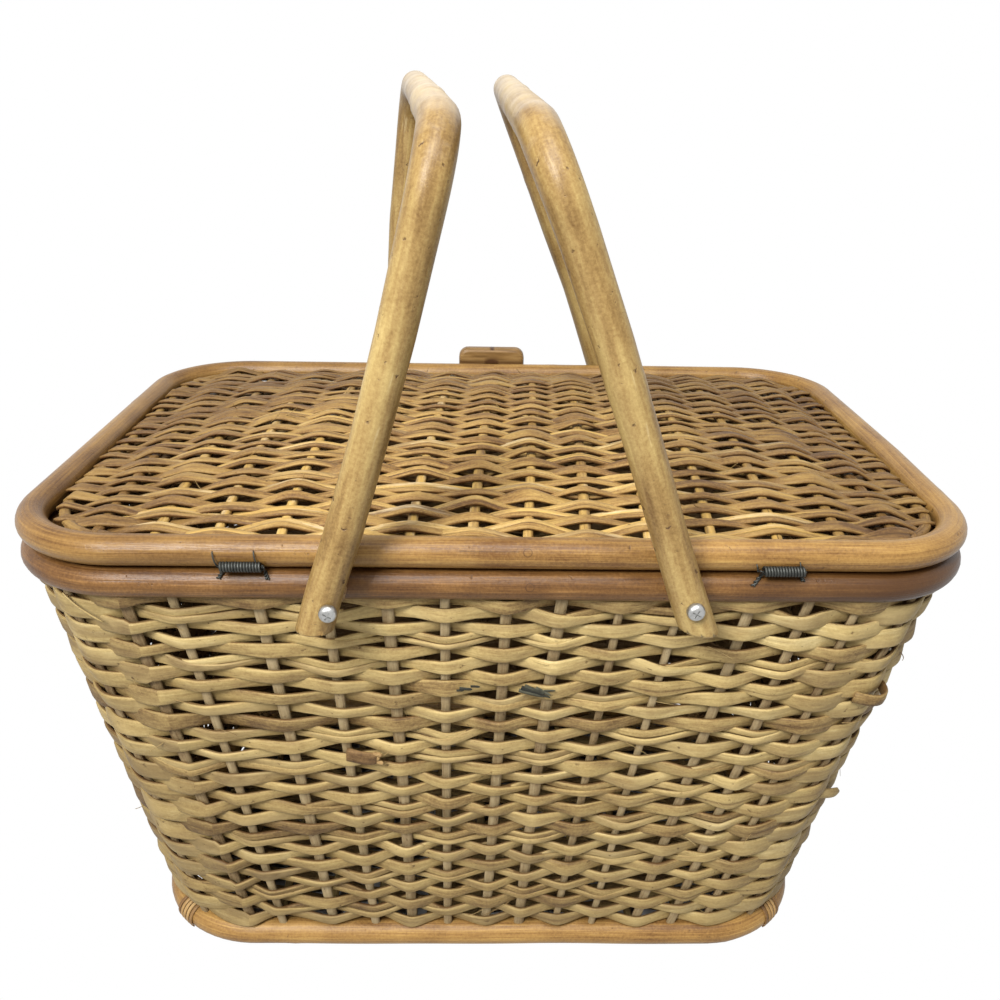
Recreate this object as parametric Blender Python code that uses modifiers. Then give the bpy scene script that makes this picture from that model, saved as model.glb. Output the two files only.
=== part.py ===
"""Rattan pie basket: a woven tub with a hinged woven lid and two bent-pole swing handles.

Metres, +Z up. X runs along the basket, the hinge side is at -Y and the lift tab at +Y.
The origin is on the table, under the middle of the basket.
"""

import math

import bmesh
import bpy
from mathutils import Vector

# Clearances
SEAT_GAP = 0.0003  # between pieces that touch on the real basket
MERGE_DISTANCE = 0.00001
CUT_OVERRUN = 0.010  # how far a cutter runs past what it cuts

# Bent poles. Lengths and depths are over the outside of a pole, corner radii to its centreline.
RIM_LENGTH = 0.420
RIM_DEPTH = 0.290
RIM_CORNER_RADIUS = 0.047
LID_RIM_DIAMETER = 0.0130
BODY_RIM_DIAMETER = 0.0135
BODY_RIM_HEIGHT = 0.229  # its centreline above the table
RIM_GAP = 0.0008  # between the lid rim and the body rim
BASE_LENGTH = 0.348
BASE_DEPTH = 0.218
BASE_SHIFT = -0.006  # the handmade tub leans: its foot sits off the middle of the rim
BASE_CORNER_RADIUS = 0.050
BASE_RIM_DIAMETER = 0.0135
FOOT_FLAT_DEPTH = 0.0005  # flat worn under the base pole
POLE_CORNER_STEPS = 8
POLE_BEVEL_RESOLUTION = 4

# Woven shells. A weaver stands out at one stake and in at the next, and the next weaver does the reverse.
STAKE_COUNT = 48
NEAR_STAKE_SHARES = (  # of the near side's straight half, where the stakes aren't evenly spaced
    -1.0, -0.870, -0.645, -0.462, -0.300, -0.144, 0.022, 0.170, 0.330, 0.492, 0.682, 0.844, 0.988,
)
WALL_WEAVERS = 31
WALL_WEAVER_END_SHARES = (0.0155, 0.9925)  # lowest and highest weaver, up the wall
WALL_THICKNESS = 0.0046
WALL_RELIEF = 0.0016
FLOOR_THICKNESS = 0.0040
FLOOR_CELLS = 10
LID_WEAVERS = 39
LID_STAKES = 14
LID_STAKE_END_SHARES = (-0.8664, 0.8704)  # of the panel's half length
LID_EDGE_STRAND_SHARE = 0.968
LID_WEAVE_MARGIN = 0.0017  # bare stake between the pole and the first weaver
LID_PANEL_THICKNESS = 0.0046
LID_RELIEF = 0.0014
LID_CROWN_HEIGHT = 0.015  # how far the middle of the lid stands above its edge
LID_CROWN_POWER = 2.6

# Cane bindings round the base pole at its corners
WRAP_TURNS = 5
WRAP_STRIP_WIDTH = 0.0024
WRAP_THICKNESS = 0.0006
WRAP_RIB_HEIGHT = 0.0003
WRAP_START_ANGLE = math.radians(50)  # from straight down round the outer side: the pole stands on the rest
WRAP_END_ANGLE = math.radians(235)  # above the floor's edge
WRAP_SIDES = 6

# Handles: bent poles on pivot bolts through the body rim
HANDLE_DIAMETER = 0.016
LEFT_HANDLE_REACHES = (0.182, 0.190)  # pivot to the middle of the grip, near leg and far leg
RIGHT_HANDLE_REACHES = (0.186, 0.198)
HANDLE_BEND_RADIUS = 0.028
HANDLE_END_LENGTH = 0.0120  # leg below the pivot
HANDLE_END_CHAMFER = 0.0014
HANDLE_STANDOFF = 0.0047  # leg clear of the rims, so that the lid's rim can swing out past it
PIVOT_SPACING = 0.1416
PIVOT_SHIFT = 0.0044  # the bolts sit off the middle of the rim
LEFT_PIVOT_RISE = 0.0005  # above the middle of the rim's pole
RIGHT_PIVOT_RISE = 0.0025
LEFT_HANDLE_LEANS = (math.radians(14.0), math.radians(4.7))  # inward from upright, near leg and far leg
RIGHT_HANDLE_LEANS = (math.radians(-21.0), math.radians(-20.8))
BEND_STEPS = 6

# Pivot hardware
BOLT_DIAMETER = 0.004
BOLT_BORE_DIAMETER = 0.0046
BOLT_HEAD_DIAMETER = 0.0078
BOLT_HEAD_HEIGHT = 0.0030
BOLT_HEAD_EDGE = 0.0011  # height of the head's straight edge
BOLT_OVERHANG = 0.0015  # thread past the nut
SPOT_DEPTH = 0.0006  # flat cut in a pole where hardware bears on it
SPOT_MARGIN = 0.0004
SPACER_DIAMETER = 0.0095
WASHER_DIAMETER = 0.0100
WASHER_THICKNESS = 0.0010
NUT_ACROSS_CORNERS = 0.0081
NUT_THICKNESS = 0.0032
TURNED_STEPS = 16

# Wire hinges between the rims
HINGE_SPACING = 0.2164
HINGE_SHIFT = 0.0049  # the hinges sit off the middle of the rim
HINGE_WIRE_DIAMETER = 0.0008
HINGE_COIL_DIAMETER = 0.0044
HINGE_COIL_TURNS = 14
HINGE_COIL_PITCH = 0.00132
HINGE_CURL_POINTS = 8
HINGE_ARM_MARGIN = 0.0010  # from the coil's end to the arms
HINGE_BAR_OFFSET = 0.00095  # lower bar below the hinge axis
HINGE_ARM_STEPS = 4
HINGE_ARM_END_ANGLE = math.radians(8)

# Lift tab on the far side of the lid
TAB_WIDTH = 0.043
TAB_GAP_WIDTH = 0.014
TAB_THICKNESS = 0.0090
TAB_RISE = 0.0085  # above the top of the lid rim
TAB_BRIDGE_HEIGHT = 0.0115
TAB_CORNER_RADIUS = 0.0060
TAB_GAP_RADIUS = 0.0045
TAB_EDGE_RADIUS = 0.0022
TAB_OFFSET = -0.0015  # off the middle of the lid
NAIL_DIAMETER = 0.0018
NAIL_BORE_DIAMETER = 0.0024
NAIL_HEAD_DIAMETER = 0.0046
NAIL_HEAD_HEIGHT = 0.0012
NAIL_DEPTH = 0.0085  # into the lid rim

# Worked out from the sizes above
BASE_RIM_Z = BASE_RIM_DIAMETER / 2 - FOOT_FLAT_DEPTH
LID_RIM_Z = BODY_RIM_HEIGHT + BODY_RIM_DIAMETER / 2 + RIM_GAP + LID_RIM_DIAMETER / 2
WRAP_SPACE = WRAP_THICKNESS + WRAP_RIB_HEIGHT + 2 * SEAT_GAP
WALL_LEAN = math.atan2((RIM_LENGTH - BASE_LENGTH) / 2, BODY_RIM_HEIGHT - BASE_RIM_Z)
WALL_BOTTOM_Z = BASE_RIM_Z + BASE_RIM_DIAMETER / 2 + WRAP_SPACE + WALL_THICKNESS / 2 * math.sin(WALL_LEAN)
WALL_TOP_Z = BODY_RIM_HEIGHT - BODY_RIM_DIAMETER / 2 - SEAT_GAP
LEG_Y = RIM_DEPTH / 2 + HANDLE_STANDOFF + HANDLE_DIAMETER / 2

STRAW = (0.60, 0.41, 0.20)
HONEY = (0.52, 0.27, 0.10)
RED_BROWN = (0.36, 0.17, 0.075)
PALE_STRAW = (0.62, 0.43, 0.20)
CANE = (0.46, 0.27, 0.12)
ZINC = (0.62, 0.63, 0.64)
DARK_STEEL = (0.09, 0.09, 0.085)
TURNED_WOOD = (0.42, 0.28, 0.15)


def clear_scene():
    for obj in list(bpy.data.objects):
        bpy.data.objects.remove(obj, do_unlink=True)


def new_collection(name):
    collection = bpy.data.collections.new(name)
    bpy.context.scene.collection.children.link(collection)
    return collection


def new_material(name, colour, roughness, metallic=0.0):
    material = bpy.data.materials.new(name)
    material.use_nodes = True
    shader = material.node_tree.nodes["Principled BSDF"]
    shader.inputs["Base Color"].default_value = (*colour, 1)
    shader.inputs["Roughness"].default_value = roughness
    shader.inputs["Metallic"].default_value = metallic
    return material


def link(obj, collection, material=None):
    """Puts a new object in its collection and gives it its material."""
    for other in obj.users_collection:
        other.objects.unlink(obj)
    collection.objects.link(obj)
    if material:
        obj.data.materials.clear()
        obj.data.materials.append(material)
    if collection.name == "cutters":
        obj.hide_render = True
        obj.display_type = "WIRE"
    return obj


def attach(child, parent):
    """Parents a piece to an empty that isn't turned, and leaves it where it is."""
    child.parent = parent
    child.location = child.location - parent.location


def rounded_rectangle(length, depth, radius, corner_steps, height=0.0):
    """Points round a rounded rectangle about the Z axis, counter-clockwise from the middle of +X."""
    points = []
    for quarter in range(4):
        side_x = 1 if quarter in (0, 3) else -1
        side_y = 1 if quarter in (0, 1) else -1
        centre = Vector((side_x * (length / 2 - radius), side_y * (depth / 2 - radius), height))
        for step in range(corner_steps + 1):
            turn = math.pi / 2 * (quarter + step / corner_steps)
            points.append(centre + radius * Vector((math.cos(turn), math.sin(turn), 0)))
    return points


def round_the_tub(share, length, depth, radius):
    """A point of a rounded rectangle and its outward direction, by the share of the way round the
    rim, from the middle of the near side towards +X. Stakes keep their share from rim to foot."""
    rim_half = (RIM_LENGTH - BODY_RIM_DIAMETER) / 2 - RIM_CORNER_RADIUS
    rim_half_depth = (RIM_DEPTH - BODY_RIM_DIAMETER) / 2 - RIM_CORNER_RADIUS
    quarter = math.pi / 2 * RIM_CORNER_RADIUS
    runs = [rim_half, quarter, 2 * rim_half_depth, quarter]
    runs += [2 * rim_half] + runs[1:] + [rim_half]
    passed = share % 1 * sum(runs)
    run = 0
    while run < len(runs) - 1 and passed > runs[run]:
        passed -= runs[run]
        run += 1
    part = passed / runs[run]
    x, y = length / 2 - radius, depth / 2 - radius
    corners = [(x, -y), (x, y), (-x, y), (-x, -y)]
    ends = [(0, -y)] + [corner for corner in corners for _ in range(2)] + [(0, -y)]
    centre = Vector((*ends[run], 0)).lerp(Vector((*ends[run + 1], 0)), part)
    turn = math.pi / 2 * (run // 2 - 1 + (part if run % 2 else 0))
    outward = Vector((math.cos(turn), math.sin(turn), 0))
    return centre + outward * radius, outward


def pole(name, points, diameter, material, cyclic=False, resolution=POLE_BEVEL_RESOLUTION, radii=None):
    """A round pole or wire along the points, its ends capped unless it closes on itself."""
    curve = bpy.data.curves.new(name, "CURVE")
    curve.dimensions = "3D"
    curve.bevel_depth = diameter / 2
    curve.bevel_resolution = resolution
    curve.use_fill_caps = not cyclic
    spline = curve.splines.new("POLY")
    spline.points.add(len(points) - 1)
    for index, point in enumerate(points):
        spline.points[index].co = (*point, 1)
        spline.points[index].radius = radii[index] if radii else 1
    spline.use_cyclic_u = cyclic
    spline.use_smooth = True
    return link(bpy.data.objects.new(name, curve), BASKET, material)


def as_mesh(obj):
    """The curve object made a welded mesh object, so that it can be cut."""
    bpy.context.view_layer.update()
    graph = bpy.context.evaluated_depsgraph_get()
    mesh = bpy.data.meshes.new_from_object(obj.evaluated_get(graph))
    bm = bmesh.new()
    bm.from_mesh(mesh)
    bmesh.ops.remove_doubles(bm, verts=bm.verts, dist=MERGE_DISTANCE)
    bmesh.ops.recalc_face_normals(bm, faces=bm.faces)
    bm.to_mesh(mesh)
    bm.free()
    name, place = obj.name, obj.matrix_world.copy()
    bpy.data.objects.remove(obj, do_unlink=True)
    solid = link(bpy.data.objects.new(name, mesh), BASKET)
    solid.matrix_world = place
    return solid


def cut(obj, cutter):
    modifier = obj.modifiers.new("cut_" + cutter.name, "BOOLEAN")
    modifier.operation = "DIFFERENCE"
    modifier.solver = "EXACT"
    modifier.object = cutter


def turned(name, profile, place, side, collection, material=None, steps=TURNED_STEPS):
    """A turned piece on an axis along Y. The profile is (radius, distance out from the middle plane)."""
    mesh = bpy.data.meshes.new(name)
    verts = [(radius, 0, out) for radius, out in profile]
    closed = profile[0][0] > 0
    edges = [(i, i + 1) for i in range(len(verts) - 1)]
    if closed:
        edges.append((len(verts) - 1, 0))
    mesh.from_pydata(verts, edges, [])
    obj = link(bpy.data.objects.new(name, mesh), collection, material)
    screw = obj.modifiers.new("turn", "SCREW")
    screw.steps = screw.render_steps = steps
    screw.use_merge_vertices = True
    screw.merge_threshold = MERGE_DISTANCE
    obj.location = place
    obj.rotation_euler = (-side * math.pi / 2, 0, 0)
    return obj


def ring_profile(inner, outer, low, high):
    """The closed section of a ring, outer side running down."""
    return [(inner / 2, high), (outer / 2, high), (outer / 2, low), (inner / 2, low)]


def solidify(obj, thickness):
    modifier = obj.modifiers.new("thickness", "SOLIDIFY")
    modifier.thickness = thickness
    modifier.offset = 0
    modifier.use_even_offset = True


def mesh_object(name, bm, material, collection=None):
    bmesh.ops.recalc_face_normals(bm, faces=bm.faces)
    mesh = bpy.data.meshes.new(name)
    bm.to_mesh(mesh)
    bm.free()
    return link(bpy.data.objects.new(name, mesh), collection or BASKET, material)


def rim(name, length, depth, radius, diameter, height, material):
    """A bent pole closed on itself round the basket."""
    outline = rounded_rectangle(length - diameter, depth - diameter, radius, POLE_CORNER_STEPS)
    ring = pole(name, outline, diameter, material, cyclic=True)
    ring.location = (0, 0, height)
    return as_mesh(ring)


def base_pole(material):
    """The foot pole, with a flat under it that the basket stands on."""
    size = (BASE_LENGTH, BASE_DEPTH, BASE_CORNER_RADIUS, BASE_RIM_DIAMETER)
    base = rim("base_rim", *size, BASE_RIM_Z, material)
    base.location.x = BASE_SHIFT
    bm = bmesh.new()
    bmesh.ops.create_cube(bm, size=1)
    size = Vector((BASE_LENGTH + CUT_OVERRUN, BASE_DEPTH + CUT_OVERRUN, CUT_OVERRUN))
    bmesh.ops.scale(bm, vec=size, verts=bm.verts)
    floor = mesh_object("floor_cutter", bm, None, CUTTERS)
    floor.location = (BASE_SHIFT, 0, -CUT_OVERRUN / 2)
    cut(base, floor)
    return base


def stake_shares():
    """Where the tub's stakes stand round the rim: as measured on the near side, even on the rest."""
    rim_half = (RIM_LENGTH - BODY_RIM_DIAMETER) / 2 - RIM_CORNER_RADIUS
    rim_half_depth = (RIM_DEPTH - BODY_RIM_DIAMETER) / 2 - RIM_CORNER_RADIUS
    way_round = 4 * (rim_half + rim_half_depth) + 2 * math.pi * RIM_CORNER_RADIUS
    near = [share * rim_half / way_round for share in NEAR_STAKE_SHARES]
    others = STAKE_COUNT - len(near)
    step = (1 - near[-1] + near[0]) / (others + 1)
    return near + [near[-1] + step * (i + 1) for i in range(others)]


def woven_wall(material):
    """The woven tub as a tapered shell with the weave's relief, open at the top and at the floor."""
    low = (BASE_LENGTH - BASE_RIM_DIAMETER, BASE_DEPTH - BASE_RIM_DIAMETER, BASE_CORNER_RADIUS, WALL_BOTTOM_Z)
    high = (RIM_LENGTH - BODY_RIM_DIAMETER, RIM_DEPTH - BODY_RIM_DIAMETER, RIM_CORNER_RADIUS, WALL_TOP_Z)
    heights = [0] + even_shares(WALL_WEAVER_END_SHARES[0], WALL_WEAVER_END_SHARES[1], WALL_WEAVERS) + [1]
    bm = bmesh.new()
    skins = ([], [])
    for row, rise in enumerate(heights):
        length, depth, radius, height = (a + (b - a) * rise for a, b in zip(low, high))
        rings = ([], [])
        for i, share in enumerate(stake_shares()):
            point, outward = round_the_tub(share, length, depth, radius)
            point += Vector((BASE_SHIFT * (1 - rise), 0, height))
            outward = outward * math.cos(WALL_LEAN) - Vector((0, 0, math.sin(WALL_LEAN)))
            stands_out = 0 if rise in (0, 1) else WALL_RELIEF * (-1) ** (row - 1 + i)
            if rise in (0, 1):
                outward.z = 0
            for ring, skin in zip(rings, (1, -1)):
                ring.append(bm.verts.new(point + outward * (stands_out + skin * WALL_THICKNESS / 2)))
        for skin, ring in zip(skins, rings):
            skin.append(ring)
    rings = skins[0] + skins[1][::-1]
    for first, second in zip(rings, rings[1:] + rings[:1]):
        for i in range(STAKE_COUNT):
            bm.faces.new((first[i - 1], first[i], second[i], second[i - 1]))
    return mesh_object("woven_wall", bm, material)


def even_shares(first, last, count):
    return [first + (last - first) * i / (count - 1) for i in range(count)]


def woven_panel(name, rim_size, pole_diameter, sheet, across_shares, along_shares, place, material):
    """A woven sheet that fills a rim, edge to edge, and rises to its crown in the middle."""
    rim_length, rim_depth, rim_radius = rim_size
    thickness, relief, crown = sheet
    half_length = rim_length / 2 - pole_diameter - SEAT_GAP
    half_depth = rim_depth / 2 - pole_diameter - SEAT_GAP
    radius = rim_radius - pole_diameter / 2 - SEAT_GAP
    bm = bmesh.new()
    skins = ([], [])
    for row, along in enumerate(along_shares):
        y = along * half_depth
        into_corner = max(0.0, abs(y) - (half_depth - radius))
        row_half = half_length - radius + math.sqrt(max(0.0, radius**2 - into_corner**2))
        cells = ([], [])
        for column, across in enumerate(across_shares):
            rise = (1 - abs(across) ** LID_CROWN_POWER) * (1 - abs(along) ** LID_CROWN_POWER)
            edge = abs(across) == 1 or abs(along) == 1
            stands_out = 0 if edge else relief * (-1) ** (row + column + 1)
            for cell, side in zip(cells, (1, -1)):
                z = crown * rise + stands_out + side * thickness / 2
                cell.append(bm.verts.new((across * row_half, y, z)))
        for skin, cell in zip(skins, cells):
            skin.append(cell)
    for skin in skins:
        for first, second in zip(skin, skin[1:]):
            for i in range(len(across_shares) - 1):
                bm.faces.new((first[i], first[i + 1], second[i + 1], second[i]))
    upper_edge, lower_edge = (
        skin[0] + [row[-1] for row in skin[1:-1]] + skin[-1][::-1] + [row[0] for row in skin[-2:0:-1]]
        for skin in skins
    )
    for i in range(len(upper_edge)):
        bm.faces.new((upper_edge[i - 1], upper_edge[i], lower_edge[i], lower_edge[i - 1]))
    panel = mesh_object(name, bm, material)
    panel.location = place
    return panel


def corner_wrap(name, side_x, side_y, material):
    """Turns of flat cane bound round the base pole, open where it stands and where the floor meets it."""
    inner = BASE_RIM_DIAMETER / 2 + SEAT_GAP + WRAP_THICKNESS / 2
    swing = WRAP_TURNS * WRAP_STRIP_WIDTH / BASE_CORNER_RADIUS
    corner = Vector((
        side_x * (BASE_LENGTH / 2 - BASE_RIM_DIAMETER / 2 - BASE_CORNER_RADIUS) + BASE_SHIFT,
        side_y * (BASE_DEPTH / 2 - BASE_RIM_DIAMETER / 2 - BASE_CORNER_RADIUS),
        BASE_RIM_Z,
    ))
    middle = math.atan2(side_y, side_x)
    bm = bmesh.new()
    rings = []
    for step in range(2 * WRAP_TURNS + 1):
        turn = middle + swing * (step / (2 * WRAP_TURNS) - 1 / 2)
        out = Vector((math.cos(turn), math.sin(turn), 0))
        radius = inner + (WRAP_RIB_HEIGHT if step % 2 else 0)
        ring = []
        for part in range(WRAP_SIDES + 1):
            angle = WRAP_START_ANGLE + (WRAP_END_ANGLE - WRAP_START_ANGLE) * part / WRAP_SIDES
            across, up = math.sin(angle) * radius, -math.cos(angle) * radius
            ring.append(bm.verts.new(out * (BASE_CORNER_RADIUS + across) + Vector((0, 0, up))))
        rings.append(ring)
    for first, second in zip(rings, rings[1:]):
        for i in range(WRAP_SIDES):
            bm.faces.new((first[i], first[i + 1], second[i + 1], second[i]))
    wrap = mesh_object(name, bm, material)
    wrap.location = corner
    solidify(wrap, WRAP_THICKNESS)
    return wrap


def arc_points(centre, start, end, steps):
    """Points from start to end round the centre, all in one plane, by equal turns."""
    first, last = start - centre, end - centre
    whole = first.angle(last)
    points = []
    for step in range(steps + 1):
        turn = whole * step / steps
        points.append(centre + (first * math.sin(whole - turn) + last * math.sin(turn)) / math.sin(whole))
    return points


def handle(name, pivot, leans, reaches, material):
    """A pole bent to a U: a leg down each long side of the basket and the grip between them."""
    bend = HANDLE_BEND_RADIUS
    points = []
    for side, reach in zip((-1, 1), reaches):
        shoulder = Vector((0, side * LEG_Y, reach - bend))
        inward = Vector((0, side * (LEG_Y - bend), reach - bend))
        crown = Vector((0, side * (LEG_Y - bend), reach))
        foot = Vector((0, side * LEG_Y, -HANDLE_END_LENGTH))
        leg = [foot, foot + Vector((0, 0, HANDLE_END_CHAMFER))]
        leg += arc_points(inward, shoulder, crown, BEND_STEPS)
        points += leg if side < 0 else reversed(leg)
    leaning = []
    for point in points:
        far_share = (point.y + LEG_Y) / (2 * LEG_Y)
        lean = leans[0] + (leans[1] - leans[0]) * far_share
        leaning.append(Vector((point.z * math.sin(lean), point.y, point.z * math.cos(lean))))
    small = 1 - HANDLE_END_CHAMFER / (HANDLE_DIAMETER / 2)
    radii = [small] + [1] * (len(points) - 2) + [small]
    bow = pole(name, leaning, HANDLE_DIAMETER, material, radii=radii)
    bow.location = pivot
    return as_mesh(bow)


def stepped_cutter(name, pivot, inner_spot, inner_y, outer_spot, outer_y):
    """A bore along Y for a pivot bolt, with wider spots inside inner_y and outside outer_y."""
    end = outer_y + CUT_OVERRUN
    bore = BOLT_BORE_DIAMETER / 2
    outer = [(outer_spot / 2, end), (outer_spot / 2, outer_y), (bore, outer_y)]
    half = outer + [(bore, inner_y), (inner_spot / 2, inner_y)]
    other = [(radius, -out) for radius, out in reversed(half)]
    profile = [(0, end)] + half + other + [(0, -end)]
    return turned(name, profile, pivot, 1, CUTTERS)


def pivot_hardware(tag, place, side):
    """Bolt, spacer, washer and nut of one leg. Distances run out from the basket's middle plane."""
    rim_outer = RIM_DEPTH / 2 - SPOT_DEPTH
    rim_inner = RIM_DEPTH / 2 - BODY_RIM_DIAMETER + SPOT_DEPTH
    leg_inner = LEG_Y - HANDLE_DIAMETER / 2 + SPOT_DEPTH
    head = LEG_Y + HANDLE_DIAMETER / 2 - SPOT_DEPTH + SEAT_GAP
    washer = rim_inner - SEAT_GAP
    nut = washer - WASHER_THICKNESS - SEAT_GAP
    shank_end = nut - NUT_THICKNESS - BOLT_OVERHANG
    crown = head + BOLT_HEAD_HEIGHT
    shoulder = (BOLT_HEAD_DIAMETER / 2, head + BOLT_HEAD_EDGE)
    dome = [(0, crown)]
    for step in range(1, BEND_STEPS):
        turn = math.pi / 2 * step / BEND_STEPS
        dome.append((shoulder[0] * math.sin(turn), shoulder[1] + (crown - shoulder[1]) * math.cos(turn)))
    shank = [(BOLT_DIAMETER / 2, head), (BOLT_DIAMETER / 2, shank_end), (0, shank_end)]
    turned("pivot_bolt_" + tag, dome + [shoulder, (shoulder[0], head)] + shank, place, side, BASKET, METAL)
    bore = BOLT_BORE_DIAMETER
    turned(
        "pivot_spacer_" + tag,
        ring_profile(bore, SPACER_DIAMETER, rim_outer + SEAT_GAP, leg_inner - SEAT_GAP),
        place, side, BASKET, SPACER_WOOD,
    )
    turned(
        "pivot_washer_" + tag,
        ring_profile(bore, WASHER_DIAMETER, washer - WASHER_THICKNESS, washer),
        place, side, BASKET, METAL,
    )
    turned(
        "pivot_nut_" + tag,
        ring_profile(bore, NUT_ACROSS_CORNERS, nut - NUT_THICKNESS, nut),
        place, side, BASKET, METAL, steps=6,
    )


def hinge_axis():
    """Where the coil nests in the groove between the two rims, clear of both."""
    low = BODY_RIM_DIAMETER / 2 + SEAT_GAP + HINGE_COIL_DIAMETER / 2
    high = LID_RIM_DIAMETER / 2 + SEAT_GAP + HINGE_COIL_DIAMETER / 2
    apart = LID_RIM_Z - BODY_RIM_HEIGHT
    up = (low**2 - high**2 + apart**2) / (2 * apart)
    out = math.sqrt(low**2 - up**2)
    body_rim_y = RIM_DEPTH / 2 - BODY_RIM_DIAMETER / 2
    return Vector((0, -body_rim_y - out, BODY_RIM_HEIGHT + up))


def hinge_coil(name, middle, material):
    """The coil that binds the two hinge wires together: one wire wound close round them."""
    radius = (HINGE_COIL_DIAMETER - HINGE_WIRE_DIAMETER) / 2
    count = HINGE_COIL_TURNS * HINGE_CURL_POINTS
    points = []
    for step in range(count + 1):
        turn = 2 * math.pi * step / HINGE_CURL_POINTS
        x = HINGE_COIL_PITCH * (step / HINGE_CURL_POINTS - HINGE_COIL_TURNS / 2)
        points.append(Vector((x, radius * math.cos(turn), radius * math.sin(turn))))
    gaps = [
        (a - b).length - HINGE_WIRE_DIAMETER
        for i, a in enumerate(points)
        for b in points[i + HINGE_CURL_POINTS // 2 : i + 2 * HINGE_CURL_POINTS]
    ]
    print(f"{name}: least gap between curls {min(gaps) * 1000:.2f} mm")
    coil = pole(name, points, HINGE_WIRE_DIAMETER, material, resolution=0)
    coil.location = middle
    return coil


def hinge_wire(name, middle, rim_y, rim_z, rim_diameter, bar_drop, material):
    """A bar through the coil whose two arms bend round a rim and end in its wood."""
    bar = Vector((0, middle.y, middle.z - bar_drop))
    rim_centre = Vector((0, rim_y, rim_z))
    lying = rim_diameter / 2 + SEAT_GAP + HINGE_WIRE_DIAMETER / 2
    start = bar - rim_centre
    start_angle = math.atan2(start.z, -start.y)
    end_angle = math.copysign(HINGE_ARM_END_ANGLE, start_angle)
    arm = []
    for step in range(HINGE_ARM_STEPS + 1):
        share = step / HINGE_ARM_STEPS
        angle = start_angle + (end_angle - start_angle) * share
        away = start.length + (lying - start.length) * min(1, 2 * share)
        arm.append(rim_centre + away * Vector((0, -math.cos(angle), math.sin(angle))))
    half = HINGE_COIL_PITCH * HINGE_COIL_TURNS / 2 + HINGE_WIRE_DIAMETER + HINGE_ARM_MARGIN
    aside = Vector((half, 0, 0))
    points = [point - aside for point in reversed(arm)] + [point + aside for point in arm]
    in_place = [point - middle + Vector((middle.x, 0, 0)) for point in points]
    wire = pole(name, in_place, HINGE_WIRE_DIAMETER, material, resolution=0)
    wire.location = middle
    return wire


def lift_tab(material):
    """A bow on the outer face of the far lid rim, to lift the lid by."""
    top = LID_RIM_DIAMETER / 2 + TAB_RISE
    bottom = -LID_RIM_DIAMETER / 2
    half, gap_half, gap_top = TAB_WIDTH / 2, TAB_GAP_WIDTH / 2, top - TAB_BRIDGE_HEIGHT
    corner, inner = TAB_CORNER_RADIUS, TAB_GAP_RADIUS
    outer_centre = Vector((half - corner, top - corner, 0))
    inner_centre = Vector((gap_half - inner, gap_top - inner, 0))
    along_x, along_y = Vector((1, 0, 0)), Vector((0, 1, 0))
    right_outer = arc_points(
        outer_centre, outer_centre + along_y * corner, outer_centre + along_x * corner, BEND_STEPS
    )
    right_inner = arc_points(
        inner_centre, inner_centre + along_x * inner, inner_centre + along_y * inner, BEND_STEPS
    )
    right = right_outer + [Vector((half, bottom, 0)), Vector((gap_half, bottom, 0))] + right_inner
    points = right + [Vector((-point.x, point.y, 0)) for point in reversed(right)]
    curve = bpy.data.curves.new("lid_tab", "CURVE")
    curve.dimensions = "2D"
    curve.fill_mode = "BOTH"
    curve.extrude = TAB_THICKNESS / 2 - TAB_EDGE_RADIUS
    curve.bevel_depth = TAB_EDGE_RADIUS
    curve.bevel_resolution = 1
    curve.offset = -TAB_EDGE_RADIUS
    spline = curve.splines.new("POLY")
    spline.points.add(len(points) - 1)
    for knot, point in zip(spline.points, points):
        knot.co = (*point, 1)
    spline.use_cyclic_u = True
    tab = link(bpy.data.objects.new("lid_tab", curve), BASKET, material)
    tab.location = (TAB_OFFSET, RIM_DEPTH / 2 + SEAT_GAP + TAB_THICKNESS / 2, LID_RIM_Z)
    tab.rotation_euler = (math.pi / 2, 0, 0)
    return as_mesh(tab)


def tab_nails(tab, lid_rim):
    """A round-headed nail through each leg of the tab into the lid rim, and the holes they sit in."""
    face = RIM_DEPTH / 2 + SEAT_GAP + TAB_THICKNESS
    point = RIM_DEPTH / 2 - NAIL_DEPTH
    reach = (TAB_WIDTH + TAB_GAP_WIDTH) / 4
    nails = []
    for tag, side in (("left", -1), ("right", 1)):
        place = (TAB_OFFSET + side * reach, 0, LID_RIM_Z)
        under = face + SEAT_GAP
        head = NAIL_HEAD_DIAMETER / 2
        profile = [
            (0, under + NAIL_HEAD_HEIGHT),
            (head * math.sqrt(1 / 2), under + NAIL_HEAD_HEIGHT * math.sqrt(1 / 2)),
            (head, under),
            (NAIL_DIAMETER / 2, under), (NAIL_DIAMETER / 2, point + NAIL_DIAMETER), (0, point),
        ]
        nails.append(turned("tab_nail_" + tag, profile, place, 1, BASKET, METAL, steps=12))
        hole = [
            (0, face + CUT_OVERRUN), (NAIL_BORE_DIAMETER / 2, face + CUT_OVERRUN),
            (NAIL_BORE_DIAMETER / 2, point - SEAT_GAP), (0, point - SEAT_GAP),
        ]
        bore = turned("tab_nail_bore_" + tag, hole, place, 1, CUTTERS, steps=12)
        cut(tab, bore)
        cut(lid_rim, bore)
    return nails


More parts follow.
